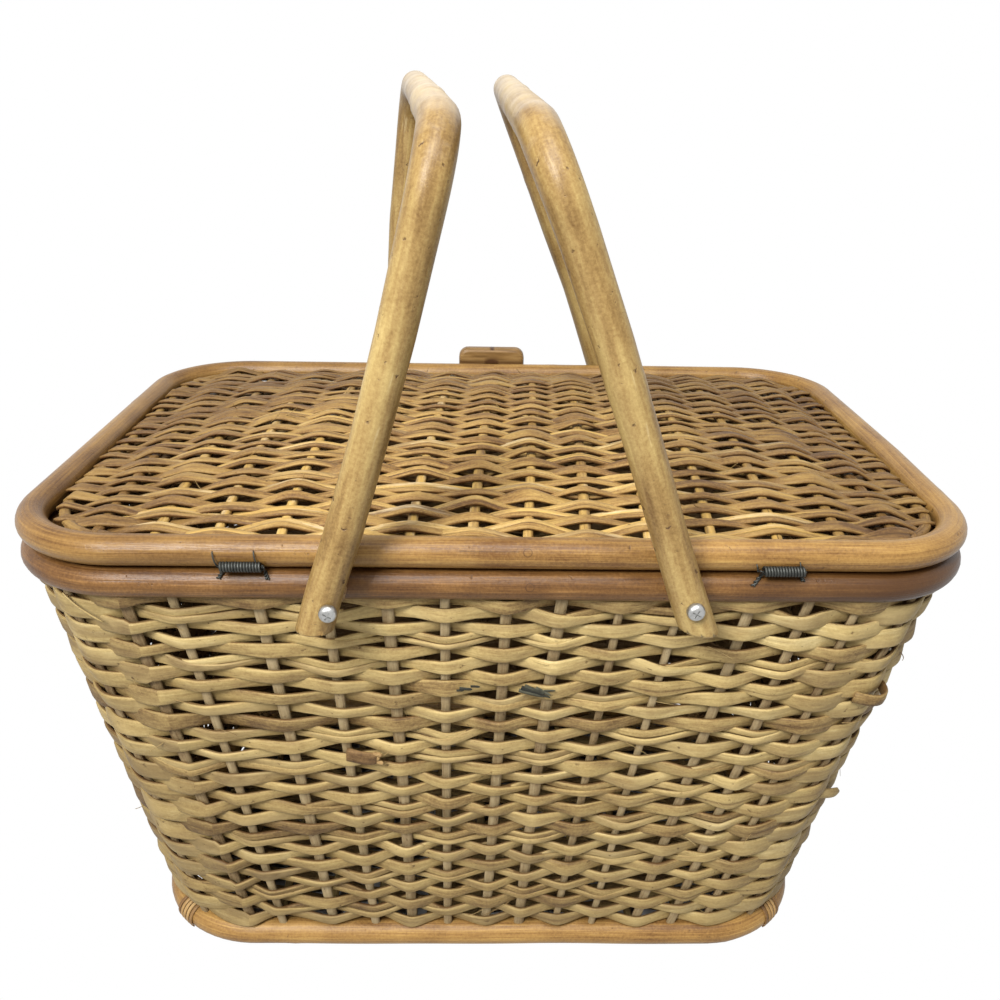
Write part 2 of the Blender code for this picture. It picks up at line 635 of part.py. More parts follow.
clear_scene()
BASKET = new_collection("pie_basket")
CUTTERS = new_collection("cutters")
WEAVE = new_material("rattan_weave", STRAW, 0.62)
LID_WEAVE = new_material("rattan_lid_weave", HONEY, 0.60)
LID_POLE = new_material("rattan_lid_rim", HONEY, 0.45)
BODY_POLE = new_material("rattan_body_rim", RED_BROWN, 0.48)
HANDLE_POLE = new_material("rattan_handle", PALE_STRAW, 0.50)
CANE_BINDING = new_material("cane_binding", CANE, 0.60)
METAL = new_material("zinc_steel", ZINC, 0.32, 1.0)
HINGE_STEEL = new_material("dark_steel_wire", DARK_STEEL, 0.45, 1.0)
SPACER_WOOD = new_material("spacer_wood", TURNED_WOOD, 0.60)

# The tub
rim_size = (RIM_LENGTH, RIM_DEPTH, RIM_CORNER_RADIUS)
body_rim = rim("body_rim", *rim_size, BODY_RIM_DIAMETER, BODY_RIM_HEIGHT, BODY_POLE)
woven_wall(WEAVE)
base_pole(LID_POLE)
cell_shares = even_shares(-1, 1, FLOOR_CELLS + 1)
woven_panel(
    "base_floor", (BASE_LENGTH, BASE_DEPTH, BASE_CORNER_RADIUS), BASE_RIM_DIAMETER, (FLOOR_THICKNESS, 0, 0),
    cell_shares, [math.sin(share * math.pi / 2) for share in cell_shares], (BASE_SHIFT, 0, BASE_RIM_Z), WEAVE,
)
CORNERS = (("front_left", -1, -1), ("front_right", 1, -1), ("rear_left", -1, 1), ("rear_right", 1, 1))
for wrap_name, wrap_x, wrap_y in CORNERS:
    corner_wrap("corner_wrap_" + wrap_name, wrap_x, wrap_y, CANE_BINDING)

# The handles and their bolts
HANDLES = (
    ("left", PIVOT_SHIFT - PIVOT_SPACING / 2, LEFT_PIVOT_RISE, LEFT_HANDLE_LEANS, LEFT_HANDLE_REACHES),
    ("right", PIVOT_SHIFT + PIVOT_SPACING / 2, RIGHT_PIVOT_RISE, RIGHT_HANDLE_LEANS, RIGHT_HANDLE_REACHES),
)
for tag, pivot_x, rise, leans, reaches in HANDLES:
    pivot = Vector((pivot_x, 0, BODY_RIM_HEIGHT + rise))
    bow = handle("handle_" + tag, pivot, leans, reaches, HANDLE_POLE)
    spot = SPACER_DIAMETER + SPOT_MARGIN
    leg_bore = stepped_cutter(
        "leg_bore_" + tag, pivot,
        spot, LEG_Y - HANDLE_DIAMETER / 2 + SPOT_DEPTH,
        BOLT_HEAD_DIAMETER + SPOT_MARGIN, LEG_Y + HANDLE_DIAMETER / 2 - SPOT_DEPTH,
    )
    cut(bow, leg_bore)
    rim_bore = stepped_cutter(
        "rim_bore_" + tag, pivot,
        WASHER_DIAMETER + SPOT_MARGIN, RIM_DEPTH / 2 - BODY_RIM_DIAMETER + SPOT_DEPTH,
        spot, RIM_DEPTH / 2 - SPOT_DEPTH,
    )
    cut(body_rim, rim_bore)
    pivot_hardware("front_" + tag, pivot, -1)
    pivot_hardware("rear_" + tag, pivot, 1)

# The lid, carried on an empty at its hinge axis
lid_hinge = bpy.data.objects.new("lid_hinge", None)
BASKET.objects.link(lid_hinge)
lid_hinge.location = hinge_axis()
lid_rim = rim("lid_rim", RIM_LENGTH, RIM_DEPTH, RIM_CORNER_RADIUS, LID_RIM_DIAMETER, LID_RIM_Z, LID_POLE)
lid_half_depth = RIM_DEPTH / 2 - LID_RIM_DIAMETER - SEAT_GAP
last_weaver_share = (1 - LID_WEAVE_MARGIN / lid_half_depth) * (1 - 1 / LID_WEAVERS)
lid_across = [-1, -LID_EDGE_STRAND_SHARE] + even_shares(*LID_STAKE_END_SHARES, LID_STAKES)
lid_panel = woven_panel(
    "lid_panel", (RIM_LENGTH, RIM_DEPTH, RIM_CORNER_RADIUS), LID_RIM_DIAMETER,
    (LID_PANEL_THICKNESS, LID_RELIEF, LID_CROWN_HEIGHT), lid_across + [LID_EDGE_STRAND_SHARE, 1],
    [-1] + even_shares(-last_weaver_share, last_weaver_share, LID_WEAVERS) + [1],
    (0, 0, LID_RIM_Z), LID_WEAVE,
)
tab = lift_tab(LID_POLE)
lid_pieces = [lid_rim, lid_panel, tab] + tab_nails(tab, lid_rim)
for tag, side in (("left", -1), ("right", 1)):
    middle = hinge_axis() + Vector((HINGE_SHIFT + side * HINGE_SPACING / 2, 0, 0))
    hinge_coil("hinge_coil_" + tag, middle, HINGE_STEEL)
    body_rim_y = BODY_RIM_DIAMETER / 2 - RIM_DEPTH / 2
    lower = (body_rim_y, BODY_RIM_HEIGHT, BODY_RIM_DIAMETER, HINGE_BAR_OFFSET)
    hinge_wire("hinge_lower_wire_" + tag, middle, *lower, HINGE_STEEL)
    lid_rim_y = LID_RIM_DIAMETER / 2 - RIM_DEPTH / 2
    upper = (lid_rim_y, LID_RIM_Z, LID_RIM_DIAMETER, 0)
    lid_pieces.append(hinge_wire("hinge_upper_wire_" + tag, middle, *upper, HINGE_STEEL))
for piece in lid_pieces:
    attach(piece, lid_hinge)

for obj in BASKET.objects:
    if obj.type == "MESH":
        obj.data.shade_smooth()
        obj.data.set_sharp_from_angle(angle=math.radians(40))
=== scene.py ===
import math

import bmesh
import bpy
import numpy as np
from mathutils import Matrix, Vector


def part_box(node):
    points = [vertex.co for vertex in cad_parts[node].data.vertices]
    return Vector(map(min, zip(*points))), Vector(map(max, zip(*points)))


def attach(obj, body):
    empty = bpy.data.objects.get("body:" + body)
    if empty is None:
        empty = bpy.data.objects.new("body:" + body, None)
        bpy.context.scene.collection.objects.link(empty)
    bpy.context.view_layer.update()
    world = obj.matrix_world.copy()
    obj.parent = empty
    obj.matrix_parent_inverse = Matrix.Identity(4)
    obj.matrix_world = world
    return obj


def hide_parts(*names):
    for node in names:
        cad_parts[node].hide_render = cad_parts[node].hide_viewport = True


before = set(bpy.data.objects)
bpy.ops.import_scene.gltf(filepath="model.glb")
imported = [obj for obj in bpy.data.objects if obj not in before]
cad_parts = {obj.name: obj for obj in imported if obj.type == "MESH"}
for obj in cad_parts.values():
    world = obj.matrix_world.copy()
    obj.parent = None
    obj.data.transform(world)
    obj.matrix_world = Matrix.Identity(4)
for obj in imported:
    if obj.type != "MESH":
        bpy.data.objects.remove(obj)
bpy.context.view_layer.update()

# The photographer stands at the hinge side, a little above the handles' grips, and looks down
# at the lid. The camera is level to within about a degree, and its lens is a normal one.
camera_pitch, camera_yaw, camera_roll = 0.3875, 0.0226, -0.0186
looking = Vector((
    math.sin(camera_yaw) * math.cos(camera_pitch),
    math.cos(camera_yaw) * math.cos(camera_pitch),
    -math.sin(camera_pitch),
))
level_right = Vector((math.cos(camera_yaw), -math.sin(camera_yaw), 0))
level_down = looking.cross(level_right)
camera_right = level_right * math.cos(camera_roll) + level_down * math.sin(camera_roll)
camera_up = level_right * math.sin(camera_roll) - level_down * math.cos(camera_roll)
camera_place = (-0.0088, -0.5053, 0.4158)
bpy.ops.object.select_all(action="DESELECT")
bpy.ops.object.camera_add()
camera = bpy.context.object
camera.name = "camera"
camera_turn = Matrix((camera_right, camera_up, -looking)).transposed().to_4x4()
camera.matrix_world = Matrix.Translation(camera_place) @ camera_turn
camera.data.lens = 36
camera.data.sensor_width = 36
camera.data.clip_start = 0.01
bpy.context.scene.camera = camera


class Wire:
    """A node's output. Arithmetic on it adds Math nodes."""

    def __init__(self, finish, socket):
        self.finish = finish
        self.socket = socket

    def math(self, operation, first, second=0.0):
        return self.finish.node("ShaderNodeMath", {"operation": operation}, {0: first, 1: second})

    def __add__(self, other):
        return self.math("ADD", self, other)

    __radd__ = __add__

    def __mul__(self, other):
        return self.math("MULTIPLY", self, other)

    __rmul__ = __mul__

    def __sub__(self, other):
        return self.math("SUBTRACT", self, other)

    def __rsub__(self, other):
        return self.math("SUBTRACT", other, self)

    def __truediv__(self, other):
        return self.math("DIVIDE", self, other)

    def __pow__(self, other):
        return self.math("POWER", self, other)

    def __gt__(self, other):
        return self.math("GREATER_THAN", self, other)

    def __lt__(self, other):
        return self.math("LESS_THAN", self, other)

    def floor(self):
        return self.math("FLOOR", self)

    def size(self):
        return self.math("ABSOLUTE", self)

    def clamped(self):
        return self.math("MAXIMUM", self.math("MINIMUM", self, 1.0), 0.0)


class Finish:
    """A material in the making, or the world's light."""

    def __init__(self, material):
        self.material = material
        material.use_nodes = True
        self.tree = material.node_tree
        self.tree.nodes.clear()

    def node(self, kind, settings, sockets, output=0):
        made = self.tree.nodes.new(kind)
        stops = settings.pop("stops", None)
        for name, value in settings.items():
            setattr(made, name, value)
        if stops:
            ramp = made.color_ramp.elements
            while len(ramp) < len(stops):
                ramp.new(1.0)
            for stop, (place, colour) in zip(ramp, stops):
                stop.position = place
                stop.color = (*colour, 1.0)
        for name, value in sockets.items():
            if isinstance(value, Wire):
                self.tree.links.new(value.socket, made.inputs[name])
            elif value is not None:
                made.inputs[name].default_value = (*value, 1.0) if made.inputs[name].type == "RGBA" else value
        return Wire(self, made.outputs[output])

    def blend(self, share, first, second, way="MIX"):
        """The first colour turned towards the second by a share."""
        settings = {"data_type": "RGBA", "blend_type": way}
        return self.node("ShaderNodeMix", settings, {0: share, 6: first, 7: second}, 2)

    def noise(self, vector, scale, detail=2.0, rough=0.5):
        sockets = {"Vector": vector, "Scale": scale, "Detail": detail, "Roughness": rough}
        return self.node("ShaderNodeTexNoise", {}, sockets)

    def stretched_noise(self, scale, detail, rough):
        """Noise on Object coordinates, finer along the axes whose scale is greater."""
        place = self.node("ShaderNodeMapping", {}, {"Vector": self.spot(), "Scale": scale})
        return self.noise(place, 1.0, detail, rough)

    def spot(self):
        return self.node("ShaderNodeTexCoord", {}, {}, "Object")

    def axis(self, name, vector=None):
        """The X, Y or Z part of a vector, or of the place on the object."""
        return self.node("ShaderNodeSeparateXYZ", {}, {0: vector or self.spot()}, name)

    def ramp(self, value, stops):
        return self.node("ShaderNodeValToRGB", {"stops": stops}, {0: value})

    def bump(self, height, strength, distance):
        return self.node("ShaderNodeBump", {}, {"Strength": strength, "Distance": distance, "Height": height})

    def surface(self, sockets):
        return self.done(self.node("ShaderNodeBsdfPrincipled", {}, sockets))

    def done(self, surface, output="ShaderNodeOutputMaterial"):
        made = self.tree.nodes.new(output)
        self.tree.links.new(surface.socket, made.inputs["Surface"])
        return self.material


# The floor is a sheet of white paper that runs on behind the basket under the light, and the world round it is white.
# The camera sees both as near white, except in a patch round the foot, drawn to the basket's shadow, where it sees
# grey matt paper: a painted shadow patch, in which the real shadow also falls.
bpy.ops.object.select_all(action="DESELECT")
bpy.ops.mesh.primitive_plane_add(size=12, location=(0, 0, -0.0002))
paper = bpy.context.object
paper.name = "paper_floor"
bpy.ops.object.transform_apply(location=True, rotation=True, scale=True)


def showing(finish):
    """1 where the white surroundings are seen, mirrored or seen through something, and 0 where they only light."""
    rays = [
        finish.node("ShaderNodeLightPath", {}, {}, "Is " + kind + " Ray")
        for kind in ("Camera", "Glossy", "Transmission")
    ]
    return (rays[0] + rays[1] + rays[2]).clamped()


white = (1.0, 1.0, 1.0)
shadow_middle, shadow_half = (-0.006, 0.011), (0.163, 0.109)
sheet_white = Finish(bpy.data.materials.new("white_paper"))
glow = sheet_white.node("ShaderNodeEmission", {}, {"Color": white, "Strength": 1.0})
matt = sheet_white.node("ShaderNodeBsdfDiffuse", {}, {"Color": (0.42, 0.42, 0.42)})
off_x = (sheet_white.axis("X") - shadow_middle[0]) / shadow_half[0]
off_y = (sheet_white.axis("Y") - shadow_middle[1]) / shadow_half[1]
# Inside the patch the camera sees the grey matt paper instead of the white glow: a painted shadow, darkened further
# by the real one.
outside_shadow_patch = ((off_x ** 4.0) + (off_y ** 4.0)) > 1.0
lit = showing(sheet_white) * outside_shadow_patch
paper.data.materials.append(sheet_white.done(sheet_white.node("ShaderNodeMixShader", {}, {0: lit, 1: matt, 2: glow})))

world = bpy.data.worlds.new("white_room")
bpy.context.scene.world = world
room = Finish(world)
room_light = 0.32
sky_strength = room_light + (1 - room_light) * showing(room)
room.done(room.node("ShaderNodeBackground", {}, {"Color": white, "Strength": sky_strength}), "ShaderNodeOutputWorld")

for lamp_name, place, size, energy in (
    ("window_softbox", (-0.60, -1.22, 1.32), 0.5, 36.0),
    ("overhead_softbox", (0.05, -0.60, 1.45), 0.7, 14.0),
):
    bpy.ops.object.select_all(action="DESELECT")
    bpy.ops.object.light_add(type="AREA", location=place)
    lamp = bpy.context.object
    lamp.name = lamp_name
    lamp.data.size = size
    lamp.data.energy = energy
    lamp.rotation_euler = (Vector((0, 0, 0.15)) - Vector(place)).to_track_quat("-Z", "Y").to_euler()
bpy.context.scene.view_settings.view_transform = "Standard"


# The foot pole is a rattan pole bent to a rounded rectangle. Its ends are scarfed and glued, and
# it is worn flat beneath. The stakes of the tub stand in holes drilled along its top.
def strand(points, outward, width, thick, tilt=0.0, closed=False):
    """A strand's way, its flat side's direction, its size and its turn about its own length."""
    return {"points": points, "outward": outward, "width": width, "thick": thick, "tilt": tilt, "closed": closed}


def swept(name, strands, material, sides=10, squareness=0.75):
    """One mesh of strands. Each is an oval swept along its points, flat towards its outward side."""
    verts, faces, grain = [], [], []
    turn = 2 * math.pi * np.arange(sides) / sides
    across_share = np.sign(np.cos(turn)) * np.abs(np.cos(turn)) ** squareness
    out_share = np.sign(np.sin(turn)) * np.abs(np.sin(turn)) ** squareness
    start = 0
    margin = 0.01
    for number, one in enumerate(strands):
        points, outward, closed = one["points"], one["outward"], one["closed"]
        count = len(points)
        width, thick, tilt = (np.broadcast_to(one[part], count)[:, None] for part in ("width", "thick", "tilt"))
        if closed:
            along = np.roll(points, -1, 0) - np.roll(points, 1, 0)
        else:
            along = np.gradient(points, axis=0)
        along = along / np.linalg.norm(along, axis=1, keepdims=True)
        across = np.cross(along, outward)
        across = across / np.linalg.norm(across, axis=1, keepdims=True)
        out = np.cross(across, along)
        across, out = across * np.cos(tilt) + out * np.sin(tilt), out * np.cos(tilt) - across * np.sin(tilt)
        ring = points[:, None] + across[:, None] * (width / 2 * across_share)[..., None]
        ring = ring + out[:, None] * (thick / 2 * out_share)[..., None]
        verts.append(ring.reshape(-1, 3))
        steps = np.linalg.norm(np.roll(points, -1, 0) - points, axis=1)
        length = np.concatenate(([0.0], np.cumsum(steps)))
        spans = count if closed else count - 1
        first = np.arange(spans)[:, None]
        second = (first + 1) % count
        side = np.arange(sides)[None]
        after = (side + 1) % sides
        quads = np.stack((
            start + first * sides + side,
            start + second * sides + side,
            start + second * sides + after,
            start + first * sides + after,
        ), axis=-1).reshape(-1, 4)
        faces += quads.tolist()
        low = np.broadcast_to(length[:spans, None], (spans, sides))
        high = np.broadcast_to(length[1:spans + 1, None], (spans, sides))
        left = np.broadcast_to(number + margin + (1 - 2 * margin) * side / sides, (spans, sides))
        right = left + (1 - 2 * margin) / sides
        grain.append(np.stack((low, left, high, left, high, right, low, right), axis=-1).reshape(-1))
        if not closed:
            faces.append((start + np.arange(sides)).tolist())
            faces.append((start + (count - 1) * sides + np.arange(sides)[::-1]).tolist())
            for end in (0.0, length[count - 1]):
                grain.append(np.tile((end, number + 0.5), sides))
        start += count * sides
    mesh = bpy.data.meshes.new(name)
    mesh.from_pydata(np.concatenate(verts).tolist(), [], faces)
    mesh.uv_layers.new(name="grain").data.foreach_set("uv", np.concatenate(grain))
    mesh.shade_smooth()
    mesh.update()
    piece = bpy.data.objects.new(name, mesh)
    bpy.context.scene.collection.objects.link(piece)
    mesh.materials.append(material)
    return piece


rim_straight = np.array((0.15625, 0.09125))
rim_bend = 0.047
runs = np.array((
    rim_straight[0], math.pi / 2 * rim_bend, 2 * rim_straight[1], math.pi / 2 * rim_bend, 2 * rim_straight[0],
    math.pi / 2 * rim_bend, 2 * rim_straight[1], math.pi / 2 * rim_bend, rim_straight[0],
))
run_ends = np.concatenate(([0.0], np.cumsum(runs))) / runs.sum()


def round_the_tub(shares, length, depth, radius):
    """Points and outward directions of a rounded rectangle, from the middle of the near side towards +X."""
    shares = np.asarray(shares) % 1.0
    run = np.clip(np.searchsorted(run_ends, shares, side="right") - 1, 0, 8)
    share = (shares - run_ends[run]) / (run_ends[run + 1] - run_ends[run])
    a, b = length / 2 - radius, depth / 2 - radius
    zero = np.zeros_like(share)
    right, left, near, far = a + zero, zero - a, zero - b, b + zero
    to_left, to_near = a - 2 * a * share, b - 2 * b * share
    centre_x = np.choose(run, (a * share, right, right, right, to_left, left, left, left, a * share - a))
    centre_y = np.choose(run, (near, near, -to_near, far, far, far, to_near, near, near))
    quarter = np.choose(run, (zero, share, 1 + zero, 1 + share, 2 + zero, 2 + share, 3 + zero, 3 + share, zero))
    angle = math.pi / 2 * (quarter - 1)
    outward = np.stack((np.cos(angle), np.sin(angle), zero), axis=-1)
    points = np.stack((centre_x, centre_y, zero), axis=-1) + outward * np.asarray(radius)[..., None]
    return points, outward


def wander(seed, places, waves, size):
    """A smooth wavering value round a closed loop of places from 0 to 1."""
    draw = np.random.default_rng(seed)
    total = np.zeros_like(places)
    for wave in waves:
        height = draw.uniform(0.5, 1.0)
        total += height * np.sin(2 * math.pi * (wave * places + draw.uniform())) / math.sqrt(len(waves))
    return total * size


def uneven(seed, places, size):
    """A value that changes from one crossing to the next and is smooth between them."""
    draw = np.random.default_rng(seed)
    values = np.clip(draw.normal(0, size, int(np.max(places)) + 3), -2 * size, 2 * size)
    values[-2] = values[0]
    low = np.floor(places).astype(int)
    part = places - low
    part = part * part * (3 - 2 * part)
    return values[low] * (1 - part) + values[low + 1] * part


def rattan(
    name, tones, fibre, patch, shine, speck=0.5, joint=None, seam=0.0, streaks=(), reach=60.0, inner_shade=0.0,
):
    """Rattan with its grain along each strand. Tones run from a strand's darkest to its palest.

    Fibre is how many fibres lie round a strand and reach how short they are, patch how small its clouds are,
    speck and seam how strong its dots and its cracks are, and the last argument how much painted shade darkens
    the inner side of each strand.
    """
    finish = Finish(bpy.data.materials.new(name))
    grain = finish.node("ShaderNodeUVMap", {"uv_map": "grain"}, {})
    along = finish.axis("X", grain)
    round_it = finish.axis("Y", grain)
    which = round_it.floor()
    turn = round_it - which
    toss = finish.node("ShaderNodeTexWhiteNoise", {"noise_dimensions": "1D"}, {"W": which * 1.37 + 0.21})

    def grained(lengthwise, crosswise, shift, detail=3.0, rough=0.55):
        place = {0: along * lengthwise, 1: turn * crosswise, 2: which * shift}
        return finish.noise(finish.node("ShaderNodeCombineXYZ", {}, place), 1.0, detail, rough)

    fibres = grained(reach, fibre, 7.31, 4.0, 0.65)
    fine = grained(reach * 2.5, fibre * 3.2, 5.13, 2.0, 0.6)
    slow = grained(reach * 0.22, 1.6, 3.17, 3.0, 0.6)
    cloud = finish.noise(finish.spot(), patch, 3.0, 0.55)
    grit = finish.noise(finish.spot(), 780.0, 3.0, 0.7)
    tone = toss * 0.30 + slow * 0.72 + fibres * 0.55 + fine * 0.30 + cloud * 0.40 + grit * 0.34
    colour = finish.ramp(((tone - 1.305) * 1.45 + 0.47).clamped(), tones)
    for number, (amount, level, length_scale, round_scale, tint) in enumerate(streaks):
        drift = grained(length_scale, round_scale, 11.7 + 5.3 * number, 4.0, 0.65)
        veil = ((drift + (toss - 0.5) * 0.22 - level) * 7.0).clamped() * amount
        colour = finish.blend(veil, colour, tint)
    dots = grained(260.0, 9.0, 1.9, 3.0, 0.6)
    marks = ((dots - 0.66) * 14.0).clamped() * speck
    off_crack = turn - 0.25 + (grained(7.0, 0.4, 4.4) - 0.5) * 0.16
    crack = 1.0 - (off_crack.size() * 42.0).clamped()
    crack = crack * ((grained(5.0, 0.2, 9.7, 2.0) - 0.53) * 14.0).clamped() * seam
    marks = (marks + crack).clamped()
    colour = finish.blend(marks, colour, (0.07, 0.032, 0.012))
    if joint:
        colour = joint(finish, colour)
    # Painted shade: the inner half of each strand's round is darkened, so that the gaps and the inside look dark.
    if inner_shade:
        behind = ((turn - 0.47) * 30.0).clamped() * ((1.03 - turn) * 30.0).clamped() * inner_shade
        colour = finish.blend(behind, colour, (0.085, 0.034, 0.010))
    height = fibres * 0.6 + fine * 0.35 + slow * 0.25 + grit * 0.30 - marks * 0.7
    return finish.surface({
        "Base Color": colour, "Roughness": (shine + (fibres - 0.5) * 0.3 + marks * 0.2).clamped(),
        "Normal": finish.bump(height, 0.5, 0.0007), "Specular IOR Level": 0.30,
    })


def pole_size(pole, lengths, nodes, swell):
    """A pole's thickness along it, which swells at the rings where its leaves once grew."""
    shape = np.ones_like(lengths)
    for node in nodes:
        shape += swell * np.exp(-((lengths - node) / 0.0028) ** 2)
    return pole * shape


def bent_pole(name, points, outward, size, material, sides=24, closed=True):
    return swept(name, [strand(points, outward, size, size, closed=closed)], material, sides=sides, squareness=1.0)


def rested(piece, lowest):
    """Flattens what would reach below a height."""
    for vert in piece.data.vertices:
        vert.co.z = max(vert.co.z, lowest)


honey_tones = (
    (0.0, (0.14, 0.062, 0.016)),
    (0.30, (0.31, 0.170, 0.048)),
    (0.55, (0.44, 0.262, 0.078)),
    (0.80, (0.55, 0.345, 0.110)),
    (1.0, (0.68, 0.46, 0.18)),
)
foot_low, foot_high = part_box("base_rim")
foot_middle = (foot_low.x + foot_high.x) / 2
foot_pole = 0.0135
foot_z = 0.00625
foot_size = (foot_high.x - foot_low.x - foot_pole, foot_high.y - foot_low.y - foot_pole)
foot_bend = 0.050
shares = (0.55 + np.arange(300) / 300) % 1
points, outward = round_the_tub(shares, *foot_size, foot_bend)
points += (foot_middle, 0, foot_z)
points += outward * wander(3, shares, (3, 5, 8, 13), 0.0004)[:, None]
pole_streaks = ((0.55, 0.57, 6.0, 9.0, (0.16, 0.072, 0.022)), (0.5, 0.58, 14.0, 7.0, (0.66, 0.47, 0.22)))
honey_pole = rattan("honey_foot_pole", honey_tones, 26.0, 38.0, 0.42, speck=0.7, streaks=pole_streaks, reach=16.0)
foot_thickness = pole_size(foot_pole, shares, (0.13, 0.41, 0.66, 0.9), 0.03)
foot = bent_pole("foot_pole", points, outward, foot_thickness, honey_pole)
rested(foot, 0.0)
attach(foot, "basket")
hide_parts("base_rim")


def painted_shade_by_place(shade, *slopes):
    """A joint function that paints shade on rattan, darker along X, Y or Z, each from a place on and by a slope."""
    def darken(finish, colour):
        total = 0.0
        for axis, start, slope, most in slopes:
            total = ((finish.axis(axis) - start) * slope).clamped() * most + total
        return finish.blend(total, colour, shade, "MULTIPLY")
    return darken


# The tub is plain weave. Upright stakes, flat-oval and a little reddish, stand between the foot
# pole and the rim pole, and weavers of split rattan pass in front of one and behind the next.
rim_size = (0.4065, 0.2765)
rim_z = 0.229
near_stakes = np.array((
    -0.1604, -0.1359, -0.1008, -0.0722, -0.0468, -0.0225, 0.0034, 0.0265, 0.0516, 0.0768, 0.1066, 0.1319, 0.1544,
))
loop = runs.sum()
corner_share = run_ends[1]
near_shares = np.clip(near_stakes / loop, -corner_share, corner_share)
rest = np.linspace(near_shares[-1], 1 + near_shares[0], 37)[1:-1]
stake_shares = np.concatenate((near_shares, rest))
stake_count = len(stake_shares)
tub_lean = math.atan2((rim_size[0] - foot_size[0]) / 2, rim_z - foot_z)


def drawn_in(points, share):
    """Moves the near right corner of the tub and its lid inwards, where the basket has been pressed."""
    nearness = np.clip((-0.02 - points[:, 1]) / 0.08, 0, 1)
    rightness = np.clip((points[:, 0] - 0.11) / 0.08, 0, 1)
    points[:, 0] -= 0.0037 * share * nearness * rightness


def on_tub(shares, heights):
    """Points and outward directions on the middle of the woven wall."""
    rise = (heights - foot_z) / (rim_z - foot_z)
    length = foot_size[0] + (rim_size[0] - foot_size[0]) * rise
    depth = foot_size[1] + (rim_size[1] - foot_size[1]) * rise
    bend = foot_bend + (rim_bend - foot_bend) * rise
    points, outward = round_the_tub(shares, length, depth, bend)
    points[:, 0] += foot_middle * (1 - rise)
    drawn_in(points, np.clip(rise * 3, 0, 1))
    points[:, 2] = heights
    outward = outward * math.cos(tub_lean) - np.array((0, 0, math.sin(tub_lean)))
    return points, outward


weaver_pitch = 0.00674
weaver_rows = 31
weaver_top = 0.2204
swing = 0.0030
samples = 12


def zigzag(places):
    """The way of a weaver past the stakes: 1 in front of an even one, -1 behind an odd one, tight between."""
    tightness = 0.93
    return np.arcsin(tightness * np.cos(math.pi * places)) / math.asin(tightness)


stakes = []
draw = np.random.default_rng(11)
for i, share in enumerate(stake_shares):
    heights = np.linspace(0.0085, 0.2255, 66)
    drift = draw.uniform(-1, 1) * 0.0012 * np.sin(math.pi * (heights - 0.01) / 0.21) / loop
    points, outward = on_tub(share + drift, heights)
    give = -0.0002 * (-1) ** i * np.cos(math.pi * (weaver_top - heights) / weaver_pitch)
    points += outward * give[:, None]
    width = draw.choice((0.0036, 0.0044, 0.0051)) * draw.uniform(0.95, 1.06)
    stakes.append(strand(points, outward, width, draw.uniform(0.0026, 0.0032), draw.uniform(-0.05, 0.05)))
stake_tones = (
    (0.0, (0.11, 0.064, 0.026)),
    (0.30, (0.23, 0.158, 0.076)),
    (0.60, (0.34, 0.255, 0.135)),
    (1.0, (0.47, 0.37, 0.215)),
)
beige_stake = rattan("beige_stake_rattan", stake_tones, 12.0, 45.0, 0.7, speck=0.7, inner_shade=0.75)
tub_stakes = swept("tub_stakes", stakes, beige_stake)
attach(tub_stakes, "basket")

stake_index = np.arange(stake_count * samples) / samples
round_shares = np.interp(stake_index, np.arange(stake_count + 1), np.append(stake_shares, 1 + stake_shares[0]))
away_share = np.clip((round_shares - corner_share + 0.02) / 0.03, 0, 1)
away_share *= np.clip((1.02 - corner_share - round_shares) / 0.03, 0, 1)
near_share = 1 - away_share
arch = np.abs(zigzag(stake_index))
lens = 0.84 + 0.16 * arch * near_share + 0.16 * away_share
upright = np.array((0, 0, 1))
weaver_width = 0.0066
weaver_thick = 0.0022
away_wider = 0.44
twin_width = 0.0036
twin_reach = 0.0465
doubled_at = {
    1: (0.06, 0.91), 3: (0.985,), 5: (0.93, 0.10), 8: (0.03,), 11: (0.95, 0.075), 13: (0.0,), 14: (0.90, 0.12),
    16: (0.05,), 18: (0.96,), 19: (0.09,), 21: (0.0, 0.92), 23: (0.065,), 25: (0.975,), 27: (0.03, 0.9), 29: (0.94,),
}
twins = []
weavers = []
